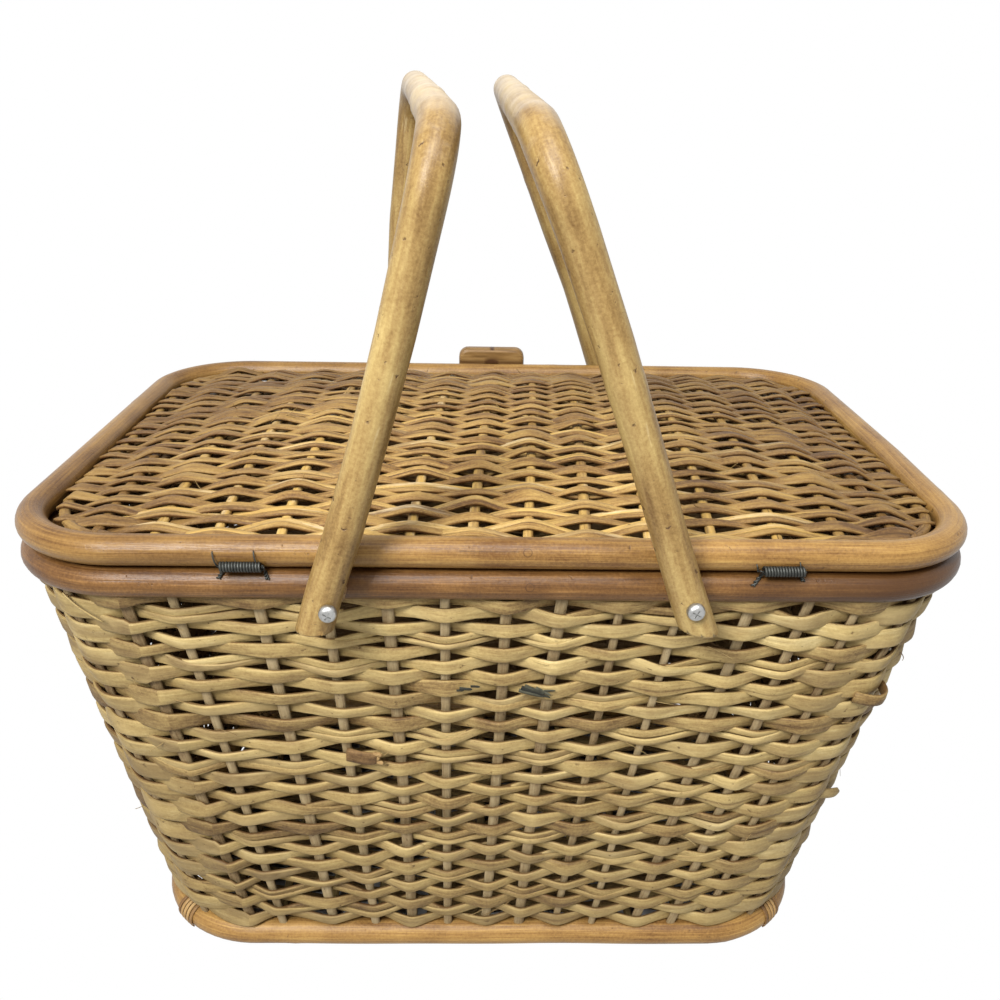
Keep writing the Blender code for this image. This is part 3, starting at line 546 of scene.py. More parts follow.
for row in range(weaver_rows):
    draw = np.random.default_rng(100 + row)
    sag = 0.0030 * math.exp(-((row - 7) / 3.2) ** 2)
    warp = sag * np.sin(2 * math.pi * (round_shares * 3 + 0.1)) ** 2
    heights = weaver_top - row * weaver_pitch + warp * 0.5 + wander(200 + row, round_shares, (5, 9, 17), 0.0004)
    heights += uneven(500 + row, stake_index, 0.00080) * (1 - 0.6 * away_share)
    heights = np.minimum(heights, weaver_top + 0.0003)
    points, outward = on_tub(round_shares, heights)
    side = (-1) ** row * zigzag(stake_index) * swing
    side *= 1 + uneven(850 + row, stake_index, 0.12) * near_share
    points += outward * (side * (1 - 0.22 * away_share))[:, None]
    width = weaver_width * (1 + draw.uniform(-0.12, 0.12)) * (1 + away_wider * away_share)
    choice = draw.choice((-0.12, -0.06, 0.0, 0.05, 0.10))
    width *= 1 + (choice + uneven(950 + row, stake_index, 0.05)) * near_share
    ragged = wander(300 + row, round_shares, (7, 23), 0.04) + uneven(600 + row, stake_index, 0.10)
    width *= lens * (1 + ragged * (1 - 0.7 * away_share))
    thick = weaver_thick * (1 + draw.uniform(-0.12, 0.12))
    from_middles = [(round_shares - middle + 0.5) % 1 - 0.5 for middle in doubled_at.get(row, ())]
    split = np.zeros_like(round_shares)
    for far in from_middles:
        split = np.maximum(split, np.clip(2.2 - np.abs(far) / 0.022, 0, 1))
    apart = (0.0018 + uneven(800 + row, stake_index, 0.0003)) * split
    tilt = wander(400 + row, round_shares, (4, 11, 29), 0.10) + uneven(700 + row, stake_index, 0.10)
    lowered = points - upright * apart[:, None]
    weavers.append(strand(lowered, outward, width * (1 - 0.48 * split), thick, tilt, closed=True))
    for far in from_middles:
        order = np.argsort(far)
        order = order[np.abs(far[order]) < twin_reach]
        taper = np.clip((twin_reach - np.abs(far[order])) / 0.012, 0.25, 1)
        raised = points[order] + upright * apart[order, None] - outward[order] * 0.0012 * (1 - taper)[:, None]
        tilt = uneven(900 + row, stake_index, 0.12)[order]
        twins.append(strand(raised, outward[order], twin_width * taper, thick * 0.9, tilt))
straw_tones = (
    (0.0, (0.10, 0.052, 0.018)),
    (0.22, (0.24, 0.152, 0.055)),
    (0.48, (0.40, 0.282, 0.108)),
    (0.74, (0.53, 0.395, 0.160)),
    (1.0, (0.70, 0.56, 0.27)),
)
# Painted shade on the tub's weavers: darker towards the bottom, towards the left end and a little towards the right
# end.
straw_painted_shade = painted_shade_by_place((0.66, 0.63, 0.60), ("Z", 0.17, -7.0, 0.75), ("X", -0.05, -8.0, 0.65), ("X", 0.09, 8.0, 0.3))
straw_streaks = ((0.5, 0.52, 9.0, 2.2, (0.19, 0.125, 0.058)), (0.5, 0.58, 30.0, 2.0, (0.62, 0.47, 0.21)))
straw = rattan(
    "straw_weaver_rattan", straw_tones, 14.0, 42.0, 0.62, speck=0.7, joint=straw_painted_shade, seam=0.5,
    streaks=straw_streaks, inner_shade=0.75,
)
upper = swept("tub_weavers_upper", weavers[:10], straw, sides=12, squareness=0.42)
middle = swept("tub_weavers_middle", weavers[10:20], straw, sides=12, squareness=0.42)
lower = swept("tub_weavers_lower", weavers[20:], straw, sides=12, squareness=0.42)
doubled = swept("tub_doubled_strands", twins, straw, sides=10, squareness=0.42)
for piece in (upper, middle, lower, doubled):
    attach(piece, "basket")
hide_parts("woven_wall")


# The floor is woven flat inside the foot pole, from the same rattan as the lid. Its stakes run
# from front to back, and one weaver snakes to and fro and turns round a strand at each end.
def snake_panel(
    stake_places, edge_place, edge_bend, half_depth, first_row, pitch, height_of, seed, per_gap, wide, lift_by, thick,
    skew=0.0, pairs=(), rough=1.0, closing=0.0,
):
    """The stakes, edge strands and one snaking weaver of a panel that fills a rounded rectangle.

    Skew leans the stakes, pairs are the rows of two strands, rough is how unlike the rows are, and closing
    draws the first rows together.
    """
    draw = np.random.default_rng(seed)
    straight = half_depth - edge_bend

    def edge_at(y):
        into = max(0.0, abs(y) - straight)
        return edge_place - edge_bend + math.sqrt(max(0.0, edge_bend ** 2 - into ** 2))

    def laid(x, y, lift):
        """Points at x and y on the panel, lifted off it, and the panel's upward directions."""
        near = 0.001
        z = height_of(x, y)
        slope_x = (height_of(x + near, y) - z) / near
        slope_y = (height_of(x, y + near) - z) / near
        up = np.stack((-slope_x, -slope_y, np.ones_like(z)), axis=-1)
        up /= np.linalg.norm(up, axis=1, keepdims=True)
        return np.stack((x, y, z), axis=-1) + up * np.asarray(lift)[..., None], up

    crossings = np.concatenate(((-edge_place,), stake_places, (edge_place,)))
    numbers = np.arange(len(crossings))
    stakes = []
    for number, x in enumerate(stake_places):
        corner = abs(x) - (edge_place - edge_bend)
        reach = straight + math.sqrt(edge_bend ** 2 - corner ** 2) if corner > 0 else half_depth
        y = np.linspace(-reach - 0.003, reach + 0.003, 90)
        bow = draw.uniform(-1, 1) * 0.0012 * np.cos(math.pi * y / (2 * half_depth))
        lift = 0.0002 * (-1) ** number * np.cos(math.pi * (y - first_row) / pitch)
        points, up = laid(x + skew * y * (1 - (x / edge_place) ** 2) + bow, y, lift)
        stakes.append(strand(points, up, draw.uniform(0.0042, 0.0050), 2 * lift_by - thick))
    edges = []
    for side in (-1, 1):
        turn = np.linspace(-math.pi / 2, 0, 14)
        corner_x, corner_y = np.cos(turn) * edge_bend, np.sin(turn) * edge_bend - straight
        x = np.concatenate((corner_x, np.full(60, edge_bend), corner_x[::-1])) + edge_place - edge_bend
        y = np.concatenate((corner_y, np.linspace(-straight, straight, 62)[1:-1], -corner_y[::-1]))
        points, up = laid(side * x, y, np.zeros_like(x))
        edges.append(strand(points, up, 0.0048, 0.0032))
    rows = int(round(-2 * first_row / pitch)) + 1
    pair_apart = 0.26
    loop_out = 0.0030
    trail = []
    extras = []
    for row in range(rows):
        along = row / (rows - 1)
        y0 = first_row - 2 * first_row * (along - closing * along * (1 - along))
        end = edge_at(y0)
        met = crossings + skew * y0 * (1 - (crossings / edge_place) ** 2)
        x = np.interp(np.arange((len(met) - 1) * per_gap + 1) / per_gap, numbers, met)
        x = x[np.abs(x) <= end]
        place = np.interp(x, met, numbers)
        lift = (-1) ** (row + 1) * zigzag(place) * lift_by * (1 + uneven(seed + 300 + row, place, 0.12 * rough))
        y = y0 + wander(seed + 50 + row, (x + 0.2) / 0.4, (2, 4, 7), 0.0004 * rough)
        y += uneven(seed + 500 + row, place, pitch * 0.09 * rough)
        share = 0.82 + 0.18 * np.abs(zigzag(place)) + uneven(seed + 700 + row, place, 0.06 * rough)
        if rough > 1:
            share = share * draw.choice((0.84, 0.92, 1.0, 1.06, 1.14))
        if row in pairs:
            part = np.clip((end - 0.012 - np.abs(x)) / 0.02, 0, 1)
            share = share * (1 - 0.52 * part)
            twin_y = y + (pair_apart * pitch + uneven(seed + 900 + row, place, 0.0003)) * part
            twin, up = laid(x, twin_y, lift * 0.97)
            extras.append(strand(twin, up, wide * 0.46 * (0.4 + 0.6 * part), thick * 0.9))
            y = y - (pair_apart * pitch + uneven(seed + 950 + row, place, 0.0003)) * part
        way = np.stack((x, y, lift, share))
        if row % 2:
            way = way[:, ::-1]
        if row:
            last = trail[-1][:, -1]
            sweep = np.linspace(0, math.pi, 8)[1:-1]
            part = (1 - np.cos(sweep)) / 2
            bend = last[:, None] + (way[:, 0] - last)[:, None] * part
            bend[0] += np.sign(way[0, 0]) * loop_out * np.sin(sweep)
            bend[3] = 1.0
            trail.append(bend)
        trail.append(way)
    x, y, lift, share = np.concatenate(trail, axis=1)
    points, up = laid(x, y, lift)
    length = np.linspace(0, 1, len(points))
    stretch = length * rows * len(numbers)
    width = wide * (1 + wander(seed + 7, length, (17, 41, 93, 140), 0.06) + uneven(seed + 8, stretch, 0.08 * rough))
    tilt = wander(seed + 9, length, (60, 130, 210), 0.12) + uneven(seed + 10, stretch, 0.12 * (rough - 1))
    return stakes, edges, [strand(points, up, width * share, thick, tilt)] + extras


def floor_height(x, y):
    return np.full_like(x, foot_z + 0.0012)


floor_strands = snake_panel(
    stake_places=np.arange(-5, 6) * 0.0265, edge_place=foot_size[0] / 2 - 0.013, edge_bend=0.040,
    half_depth=foot_size[1] / 2 - 0.0075, first_row=-0.0867, pitch=0.00667, height_of=floor_height, seed=31,
    per_gap=6, wide=0.0070, lift_by=0.0024, thick=0.0020,
)
tub_floor = swept("tub_floor_weave", sum(floor_strands, []), straw, sides=8)
for vert in tub_floor.data.vertices:
    vert.co.x += foot_middle
rested(tub_floor, 0.0008)
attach(tub_floor, "basket")
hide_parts("base_floor")

# The rim pole is thick rattan bent round the mouth of the tub and dark with handling, with painted shade that
# darkens it further towards its right end. The handles are bolted through it, and the stakes end in holes drilled
# along its underside.
red_tones = (
    (0.0, (0.075, 0.030, 0.008)),
    (0.30, (0.18, 0.085, 0.024)),
    (0.55, (0.31, 0.160, 0.050)),
    (0.80, (0.42, 0.235, 0.084)),
    (1.0, (0.53, 0.33, 0.135)),
)
body_pole = 0.0135


def peg_mark(finish, colour, middle):
    """The thin dark ring round a wooden peg in a pole."""
    peg_radius = 0.0017
    far = finish.node("ShaderNodeVectorMath", {"operation": "DISTANCE"}, {0: finish.spot(), 1: middle}, "Value")
    ring = 1.0 - ((far - peg_radius).size() * 3200.0).clamped()
    return finish.blend(ring * 0.8, colour, (0.05, 0.02, 0.007))


def rim_shade_and_peg(finish, colour):
    """The rim pole's darker tone, the painted shade that darkens it towards its right end, and its peg."""
    # Painted shade: the pole darkens towards its right end.
    right_end_shade = ((finish.axis("X") - 0.085) * 13.0).clamped() * 0.83
    colour = finish.blend(0.3, colour, (0.60, 0.54, 0.48), "MULTIPLY")
    colour = finish.blend(right_end_shade, colour, (0.055, 0.022, 0.007))
    return peg_mark(finish, colour, (0.0121, -0.1449, 0.2304))


red_streaks = ((0.6, 0.56, 6.0, 9.0, (0.085, 0.034, 0.010)), (0.35, 0.58, 16.0, 7.0, (0.50, 0.31, 0.14)))
reddish_pole = rattan(
    "reddish_rim_pole", red_tones, 26.0, 34.0, 0.38, speck=0.8, joint=rim_shade_and_peg, streaks=red_streaks, reach=16.0,
)
shares = (0.45 + np.arange(360) / 360) % 1
points, outward = round_the_tub(shares, *rim_size, rim_bend)
drawn_in(points, 0.8)
points += (0, 0, rim_z)
points += upright * wander(5, shares, (3, 5, 7), 0.0002)[:, None]
rim_thickness = pole_size(body_pole, shares, (0.075, 0.32, 0.61, 0.84), 0.022)
rim_pole = bent_pole("tub_rim_pole", points, outward, rim_thickness, reddish_pole)
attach(rim_pole, "basket")
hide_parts("body_rim")

# Flat cane, about two millimetres wide, is bound round each corner of the foot pole in a few
# close turns. Its ends are tucked under the last turn.
cane_tones = (
    (0.0, (0.09, 0.040, 0.012)),
    (0.4, (0.24, 0.130, 0.045)),
    (0.75, (0.38, 0.230, 0.085)),
    (1.0, (0.50, 0.33, 0.140)),
)
pale_cane = rattan("pale_binding_cane", cane_tones, 7.0, 60.0, 0.5)
bound_radius = foot_pole / 2 + 0.0005
corners = {"front_left": (-1, -1), "front_right": (1, -1), "rear_left": (-1, 1), "rear_right": (1, 1)}
for tag, (side_x, side_y) in corners.items():
    middle = math.atan2(side_y, side_x)
    centre = np.array((
        foot_middle + side_x * (foot_size[0] / 2 - foot_bend),
        side_y * (foot_size[1] / 2 - foot_bend),
        foot_z,
    ))
    turns = []
    for number in range(5):
        turn = np.radians(np.linspace(52, 233, 22))
        slant = (number - 2) * 0.0024 + 0.0012 * (turn - turn[0]) / (turn[-1] - turn[0])
        bearing = middle + slant / foot_bend
        out = np.stack((np.cos(bearing), np.sin(bearing), np.zeros_like(bearing)), axis=-1)
        normal = out * np.sin(turn)[:, None] - upright * np.cos(turn)[:, None]
        points = centre + out * foot_bend + normal * bound_radius
        turns.append(strand(points, normal, 0.0022, 0.0008))
    binding = swept("corner_binding_" + tag, turns, pale_cane, sides=8)
    rested(binding, 0.0001)
    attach(binding, "basket")
    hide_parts("corner_wrap_" + tag)


# The pivot bolts have zinc pan heads with a crossed slot. Each leg turns on its bolt between the
# head and a turned wooden spacer, with a washer and a nut inside the rim.
def zinc_steel(name, colour, rough, wear):
    """Metal with fine scratches and dull patches."""
    finish = Finish(bpy.data.materials.new(name))
    scratch = finish.stretched_noise((900.0, 900.0, 4200.0), 2.0, 0.5)
    dull = ((finish.noise(finish.spot(), 420.0, 3.0, 0.6) - 0.45) * 3.0).clamped() * wear
    return finish.surface({
        "Base Color": finish.blend(dull, colour, tuple(part * 0.45 for part in colour)), "Metallic": 1.0,
        "Roughness": (rough + dull * 0.25 + scratch * 0.1).clamped(), "Normal": finish.bump(scratch, 0.15, 0.0002),
    })


def wear(node, material):
    """Gives a CAD node its finish."""
    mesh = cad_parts[node].data
    for slot in range(max(1, len(mesh.materials))):
        if mesh.materials:
            mesh.materials[slot] = material
        else:
            mesh.materials.append(material)


zinc = zinc_steel("worn_zinc", (0.47, 0.47, 0.455), 0.30, 0.7)
turned_wood = Finish(bpy.data.materials.new("turned_spacer_wood"))
wood_grain = turned_wood.stretched_noise((900.0, 150.0, 900.0), 3.0, 0.6)
wood_tones = ((0.25, (0.16, 0.085, 0.035)), (0.5, (0.33, 0.20, 0.09)), (0.8, (0.47, 0.31, 0.16)))
spacer_wood = turned_wood.surface({
    "Base Color": turned_wood.ramp(wood_grain, wood_tones), "Roughness": 0.5 + wood_grain * 0.2,
    "Normal": turned_wood.bump(wood_grain, 0.3, 0.0003),
})
pivots = {"left": Vector((-0.0664, 0, 0.2295)), "right": Vector((0.0752, 0, 0.2315))}
head_radius = 0.0036
head_height = 0.0030
shank_length = 0.033


def choose_end(screw, facing):
    """Selects the screw's flat end that faces a way along Y, and goes into edit mode."""
    for face in screw.data.polygons:
        face.select = len(face.vertices) > 4 and face.normal.y * facing > 0.9
    bpy.ops.object.mode_set(mode="EDIT")


for tag, (side_x, facing) in corners.items():
    wear("pivot_washer_" + tag, zinc)
    wear("pivot_nut_" + tag, zinc)
    wear("pivot_spacer_" + tag, spacer_wood)
    low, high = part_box("pivot_bolt_" + tag)
    outer = low.y if facing < 0 else high.y
    pivot = pivots["left" if side_x < 0 else "right"]
    bpy.ops.object.select_all(action="DESELECT")
    bpy.ops.mesh.primitive_cylinder_add(
        vertices=40, radius=head_radius, depth=head_height, end_fill_type="NGON",
        location=(pivot.x, outer - facing * head_height / 2, pivot.z), rotation=(math.pi / 2, 0, 0),
    )
    screw = bpy.context.object
    screw.name = "pan_screw_" + tag
    bpy.ops.object.transform_apply(location=True, rotation=True, scale=True)
    bpy.ops.object.mode_set(mode="EDIT")
    bpy.ops.mesh.select_mode(type="FACE")
    bpy.ops.mesh.select_all(action="DESELECT")
    bpy.ops.object.mode_set(mode="OBJECT")
    choose_end(screw, facing)
    bpy.ops.mesh.bevel(offset=0.0021, segments=7, profile=0.5)
    bpy.ops.mesh.select_all(action="DESELECT")
    bpy.ops.object.mode_set(mode="OBJECT")
    choose_end(screw, -facing)
    bpy.ops.mesh.inset(thickness=0.0019)
    bpy.ops.mesh.extrude_region_move(TRANSFORM_OT_translate={"value": (0, -facing * shank_length, 0)})
    bpy.ops.object.mode_set(mode="OBJECT")
    for angle in (0.5, 0.5 + math.pi / 2):
        bpy.ops.object.select_all(action="DESELECT")
        bpy.ops.mesh.primitive_cube_add(size=1, location=(pivot.x, outer, pivot.z))
        cutter = bpy.context.object
        cutter.scale = (0.0036, 0.0012, 0.00050)
        cutter.rotation_euler = (0, angle, 0)
        bpy.ops.object.transform_apply(location=True, rotation=True, scale=True)
        slotted = screw.modifiers.new("slot", "BOOLEAN")
        slotted.object = cutter
        slotted.solver = "EXACT"
        bpy.context.view_layer.objects.active = screw
        bpy.ops.object.modifier_apply(modifier="slot")
        bpy.data.objects.remove(cutter)
    bpy.ops.object.select_all(action="DESELECT")
    screw.select_set(True)
    bpy.context.view_layer.objects.active = screw
    bpy.ops.object.shade_smooth_by_angle(angle=math.radians(35))
    screw.data.materials.append(zinc)
    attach(screw, "basket")
    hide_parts("pivot_bolt_" + tag)

# Each handle is one pole, steamed and bent to a U whose legs hang outside the long sides. The
# left one has set with a twist, so that its far leg stands straighter than its near leg.
pale_tones = (
    (0.0, (0.14, 0.072, 0.020)),
    (0.25, (0.29, 0.182, 0.062)),
    (0.50, (0.44, 0.312, 0.118)),
    (0.75, (0.57, 0.430, 0.180)),
    (1.0, (0.72, 0.60, 0.32)),
)


def paler_grip_tops(finish, colour):
    """The grips' colour turned towards pale cream above a height, with a blotchy lower edge."""
    blotch = finish.noise(finish.spot(), 45.0, 4.0, 0.6)
    # The grips turn paler above a height, with a blotchy edge.
    paler_share = ((finish.axis("Z") - 0.402) * 42.0 + (blotch - 0.5) * 2.2).clamped() * 0.72
    return finish.blend(paler_share, colour, (0.60, 0.50, 0.36))


pale_streaks = (
    (0.62, 0.55, 9.0, 6.0, (0.27, 0.165, 0.066)), (0.6, 0.55, 14.0, 7.0, (0.84, 0.71, 0.42)),
    (0.6, 0.57, 7.0, 4.0, (0.30, 0.245, 0.140)), (0.55, 0.60, 26.0, 9.0, (0.20, 0.125, 0.050)),
)
pale_pole = rattan(
    "pale_handle_pole", pale_tones, 5.0, 26.0, 0.40, speck=1.1, joint=paler_grip_tops, streaks=pale_streaks, reach=13.0,
)
handle_pole = 0.016
leg_y = 0.1577
handle_bend = 0.028
leg_end = 0.018
leg_heights = (-0.02, 0.0, 0.006, 0.03, 0.05, 0.072, 0.11, 0.15, 0.20)
for tag, leans, reaches, nodes, near_bow, far_bow, near_wide, drop, slope in (
    (
        "left", (math.radians(14.0), math.radians(4.7)), (0.182, 0.190), (0.052, 0.29, 0.47),
        (-0.0042, -0.0036, -0.0034, -0.0015, -0.0006, 0.0003, 0.0010, 0.0008, 0.0003),
        (0.0, 0.0, -0.0002, -0.0012, -0.0019, -0.0025, -0.0032, -0.0018, -0.0003),
        (0.95, 0.93, 0.92, 0.91, 0.91, 0.91, 0.92, 0.95, 1.0), 0.0113, 0.02,
    ),
    (
        "right", (math.radians(-21.0), math.radians(-20.8)), (0.186, 0.1988), (0.11, 0.36, 0.55),
        (-0.0010, -0.0010, -0.0009, -0.0002, 0.0006, 0.0014, 0.0025, 0.0026, 0.0012),
        (0.0, 0.0, 0.0003, 0.0012, 0.0020, 0.0026, 0.0016, 0.0012, 0.0006),
        (0.93, 0.92, 0.91, 0.89, 0.90, 0.91, 0.93, 0.95, 1.0), 0.0118, 0.14,
    ),
):
    flat = []
    for side, reach in ((-1, reaches[0]), (1, reaches[1])):
        turn = np.linspace(0, math.pi / 2, 22)
        below, above = np.linspace(-leg_end, 0, 8)[:-1], np.linspace(0, reach - handle_bend, 46)[:-1]
        leg_z = np.concatenate((below, above))
        leg = np.stack((np.full_like(leg_z, side * leg_y), leg_z), axis=-1)
        bend_y = side * (leg_y - handle_bend * (1 - np.cos(turn)))
        bend_z = reach - handle_bend + handle_bend * np.sin(turn)
        half = np.concatenate((leg, np.stack((bend_y, bend_z), axis=-1)))
        flat.append(half if side < 0 else half[::-1])
    flat.insert(1, np.linspace(flat[0][-1], flat[1][0], 62)[1:-1])
    flat = np.concatenate(flat)
    share = (flat[:, 0] + leg_y) / (2 * leg_y)
    lean = leans[0] + (leans[1] - leans[0]) * share
    points = np.stack((flat[:, 1] * np.sin(lean), flat[:, 0], flat[:, 1] * np.cos(lean)), axis=-1)
    near_part = np.interp(flat[:, 1], leg_heights, near_bow)
    far_part = np.interp(flat[:, 1], leg_heights, far_bow)
    points[:, 0] += near_part * (1 - share) + far_part * share
    points += np.array(pivots[tag])
    outward = np.stack((np.cos(lean), np.zeros_like(lean), -np.sin(lean)), axis=-1)
    steps = np.linalg.norm(np.diff(points, axis=0), axis=1)
    length = np.concatenate(([0.0], np.cumsum(steps)))
    size = pole_size(handle_pole, length, nodes, 0.03) * np.interp(flat[:, 1], leg_heights, near_wide)
    size *= 1 + wander(61 + len(tag), length / length[-1], (2, 5, 9), 0.008)
    bow = bent_pole("bent_handle_" + tag, points, outward, size, pale_pole, sides=28, closed=False)
    shaped = bmesh.new()
    shaped.from_mesh(bow.data)
    for side in (-1, 1):
        near_end = [face for face in shaped.faces if face.calc_center_median().y * side > leg_y - 0.012]
        geometry = near_end + list({edge for face in near_end for edge in face.edges})
        geometry += list({vert for face in near_end for vert in face.verts})
        foot_place = pivots[tag] - Vector((0, 0, drop))
        sawn = bmesh.ops.bisect_plane(
            shaped, geom=geometry, plane_co=foot_place, plane_no=(slope, 0, 1), clear_inner=True,
        )
        rim_edges = [part for part in sawn["geom_cut"] if isinstance(part, bmesh.types.BMEdge)]
        cap = bmesh.ops.contextual_create(shaped, geom=rim_edges)["faces"]
        cap_edges = [edge for face in cap for edge in face.edges]
        bmesh.ops.bevel(shaped, geom=cap_edges, offset=0.0009, segments=3, profile=0.5, affect="EDGES")
    bmesh.ops.recalc_face_normals(shaped, faces=shaped.faces)
    shaped.to_mesh(bow.data)
    shaped.free()
    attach(bow, tag + "_handle")
    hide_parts("handle_" + tag)

# The lid hangs on two lengths of dark spring wire at the near rim. A close coil binds two bent
# wires together, and their ends go round the poles, two up into the lid and two down into the tub.
# The coil clings to the lid's pole and turns with it.
dark_wire = zinc_steel("dark_hinge_wire", (0.075, 0.077, 0.070), 0.5, 0.8)
wire = 0.0008
coil_radius = (0.0044 - wire) / 2
coil_turns = 14
coil_pitch = 0.00118
lid_pole_y, body_pole_y = -0.1385, -0.13825
lid_pole = 0.013
lid_z = 0.24305
lid_size = (0.407, 0.277)


def over_pole(places, angles, lifts, pole_y, pole_z, pole):
    """Points on the near face of a pole, at angles up from level and lifted off the pole."""
    angles = np.radians(angles)
    reach = pole / 2 + lifts
    return np.stack((places, pole_y - reach * np.cos(angles), pole_z + reach * np.sin(angles)), axis=-1)


def round_wire(name, strands, body, node):
    piece = swept(name, strands, dark_wire, sides=8, squareness=1.0)
    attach(piece, body)
    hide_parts(node)


for tag, nudge, upper_ends, lower_ends in (
    ("left", 0.0, ((-0.0090, -0.0112, 24), (0.0072, 0.0051, 28)), ((-0.0080, -0.0098, 36), (0.0086, 0.0099, 34))),
    ("right", 0.0012, ((-0.0100, -0.0114, -8), (0.0068, 0.0060, 2)), ((-0.0080, -0.0118, 26), (0.0083, 0.0088, 44))),
):
    low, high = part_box("hinge_coil_" + tag)
    middle = np.array((low + high) / 2) + (nudge, -0.0018, 0.0030)
    turn = np.linspace(0, 2 * math.pi * coil_turns, coil_turns * 18 + 1)
    outward = np.stack((np.zeros_like(turn), np.cos(turn), np.sin(turn)), axis=-1)
    coil = middle + outward * coil_radius
    coil[:, 0] += coil_pitch * (turn / (2 * math.pi) - coil_turns / 2)
    round_wire("hinge_spring_" + tag, [strand(coil, outward, wire * 1.42, wire * 1.1)], "lid", "hinge_coil_" + tag)
    tips = []
    for start, end, top in upper_ends:
        share = np.linspace(0, 1, 16)
        angles = -48 + (top + 48) * share
        lifts = 0.0004 + 0.0009 * np.sin(math.pi * share) - 0.0016 * np.clip(share * 8 - 7, 0, 1)
        climb = over_pole(middle[0] + start + (end - start) * share, angles, lifts, lid_pole_y, lid_z, lid_pole)
        points = np.concatenate((middle + ((start * 0.8, 0, 0), (start * 0.97, 0, 0)), climb))
        size = np.concatenate(((1.0, 1.0), 1.0 - 0.35 * share)) * wire
        tips.append(strand(points, np.tile((0.7, -0.5, 0.5), (len(points), 1)), size, size))
    round_wire("hinge_upper_tips_" + tag, tips, "lid", "hinge_upper_wire_" + tag)
    twists = []
    for start, end, low_angle in lower_ends:
        share = np.linspace(0, 1, 34)
        places = middle[0] + start + (end - start) * share
        angles = 62 + (low_angle - 62) * share
        spine = over_pole(places, angles, 0.0009 - 0.0006 * share, body_pole_y, rim_z, body_pole)
        spine[:6, 1:] += (middle[1:] - spine[0, 1:]) * np.linspace(1, 0, 6)[:, None]
        for phase in (0, math.pi):
            spin = phase + 2 * math.pi * 1.6 * share
            outward = np.stack((np.cos(spin), -np.sin(spin), 0 * spin), axis=-1)
            points = spine + outward * (0.00042 * (1 + 0.5 * share))[:, None]
            twists.append(strand(points, outward, wire, wire))
    round_wire("hinge_twisted_ends_" + tag, twists, "basket", "hinge_lower_wire_" + tag)

# The lid has its own bent pole, paler than the rim below it, with a scarf joint at the middle of
# the near side that is nailed and plugged.
def scarf_and_end_shade(finish, colour):
    """The scarf joint's thin dark line on the near face of the lid's pole, its peg, and painted shade that darkens
    its ends.
    """
    across = finish.axis("X")
    ragged = finish.noise(finish.node("ShaderNodeCombineXYZ", {}, {0: across * 160.0}), 1.0, 3.0, 0.7)
    off_line = finish.axis("Z") - 0.2461 - (ragged - 0.5) * 0.0007
    line = 1.0 - (off_line.size() * 2600.0).clamped()
    line = line * (across > -0.0165) * (across < 0.0075) * (finish.axis("Y") < -0.130) * (ragged * 1.5).clamped()
    colour = finish.blend(line * 0.85, colour, (0.045, 0.018, 0.006))
    # Painted shade: the pole is darkened towards its left end and, less, towards its right end.
    shaded = ((-0.02 - across) * 9.0).clamped() * 0.65 + ((across - 0.10) * 9.0).clamped() * 0.35
    colour = finish.blend(shaded, colour, (0.50, 0.45, 0.42), "MULTIPLY")
    return peg_mark(finish, colour, (0.0109, -0.1446, 0.2459))


honey_lid = rattan(
    "honey_lid_pole", honey_tones, 26.0, 30.0, 0.34, speck=0.7, joint=scarf_and_end_shade, streaks=pole_streaks, reach=16.0,
)
shares = (0.5 + np.arange(360) / 360) % 1
points, outward = round_the_tub(shares, *lid_size, rim_bend)
drawn_in(points, 0.8)
points += (0, 0, lid_z)
points += outward * wander(15, shares, (3, 5, 7), 0.0002)[:, None]
lid_thickness = pole_size(lid_pole, shares, (0.93, 0.19, 0.47, 0.71), 0.02)
lid_ring = bent_pole("lid_rim_pole", points, outward, lid_thickness, honey_lid)
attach(lid_ring, "lid")
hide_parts("lid_rim")

# The lid's panel is woven in its pole. Its stakes run from the hinge side to the tab side, the
# weavers run from end to end, and the whole panel is sprung upwards to a low crown.
crown = 0.015
panel_half = (0.1968, 0.1318)
panel_bend = 0.0402


def lid_height(x, y):
    """The middle of the woven lid above the table."""
    into = np.maximum(0.0, np.abs(y) - (panel_half[1] - panel_bend))
    row_half = panel_half[0] - panel_bend + np.sqrt(np.maximum(0.0, panel_bend ** 2 - into ** 2))
    across_share = np.clip(np.abs(x) / row_half, 0, 1)
    along_share = np.clip(np.abs(y) / panel_half[1], 0, 1)
    return lid_z + crown * (1 - across_share ** 2.6) * (1 - along_share ** 2.6)


lid_places = np.array((
    -0.1660, -0.1395, -0.1130, -0.0855, -0.0580, -0.0313, -0.0050,
    0.0179, 0.0417, 0.0675, 0.0935, 0.1200, 0.1460, 0.1700,
))
lid_stakes, lid_edges, lid_snake = snake_panel(
    stake_places=lid_places, edge_place=0.1905, edge_bend=panel_bend, half_depth=0.1303, first_row=-0.1270,
    pitch=0.00577, height_of=lid_height, seed=71, per_gap=10, wide=0.0060, lift_by=0.0025, thick=0.0018, skew=0.05,
    pairs=(0, 1, 3, 4, 7, 9, 12, 14, 15, 18, 21, 24, 27, 30, 32, 36, 40, 43), rough=2.0, closing=0.14,
)
lid_tones = (
    (0.0, (0.11, 0.050, 0.015)),
    (0.22, (0.26, 0.145, 0.045)),
    (0.48, (0.43, 0.270, 0.085)),
    (0.74, (0.58, 0.390, 0.130)),
    (1.0, (0.75, 0.56, 0.25)),
)
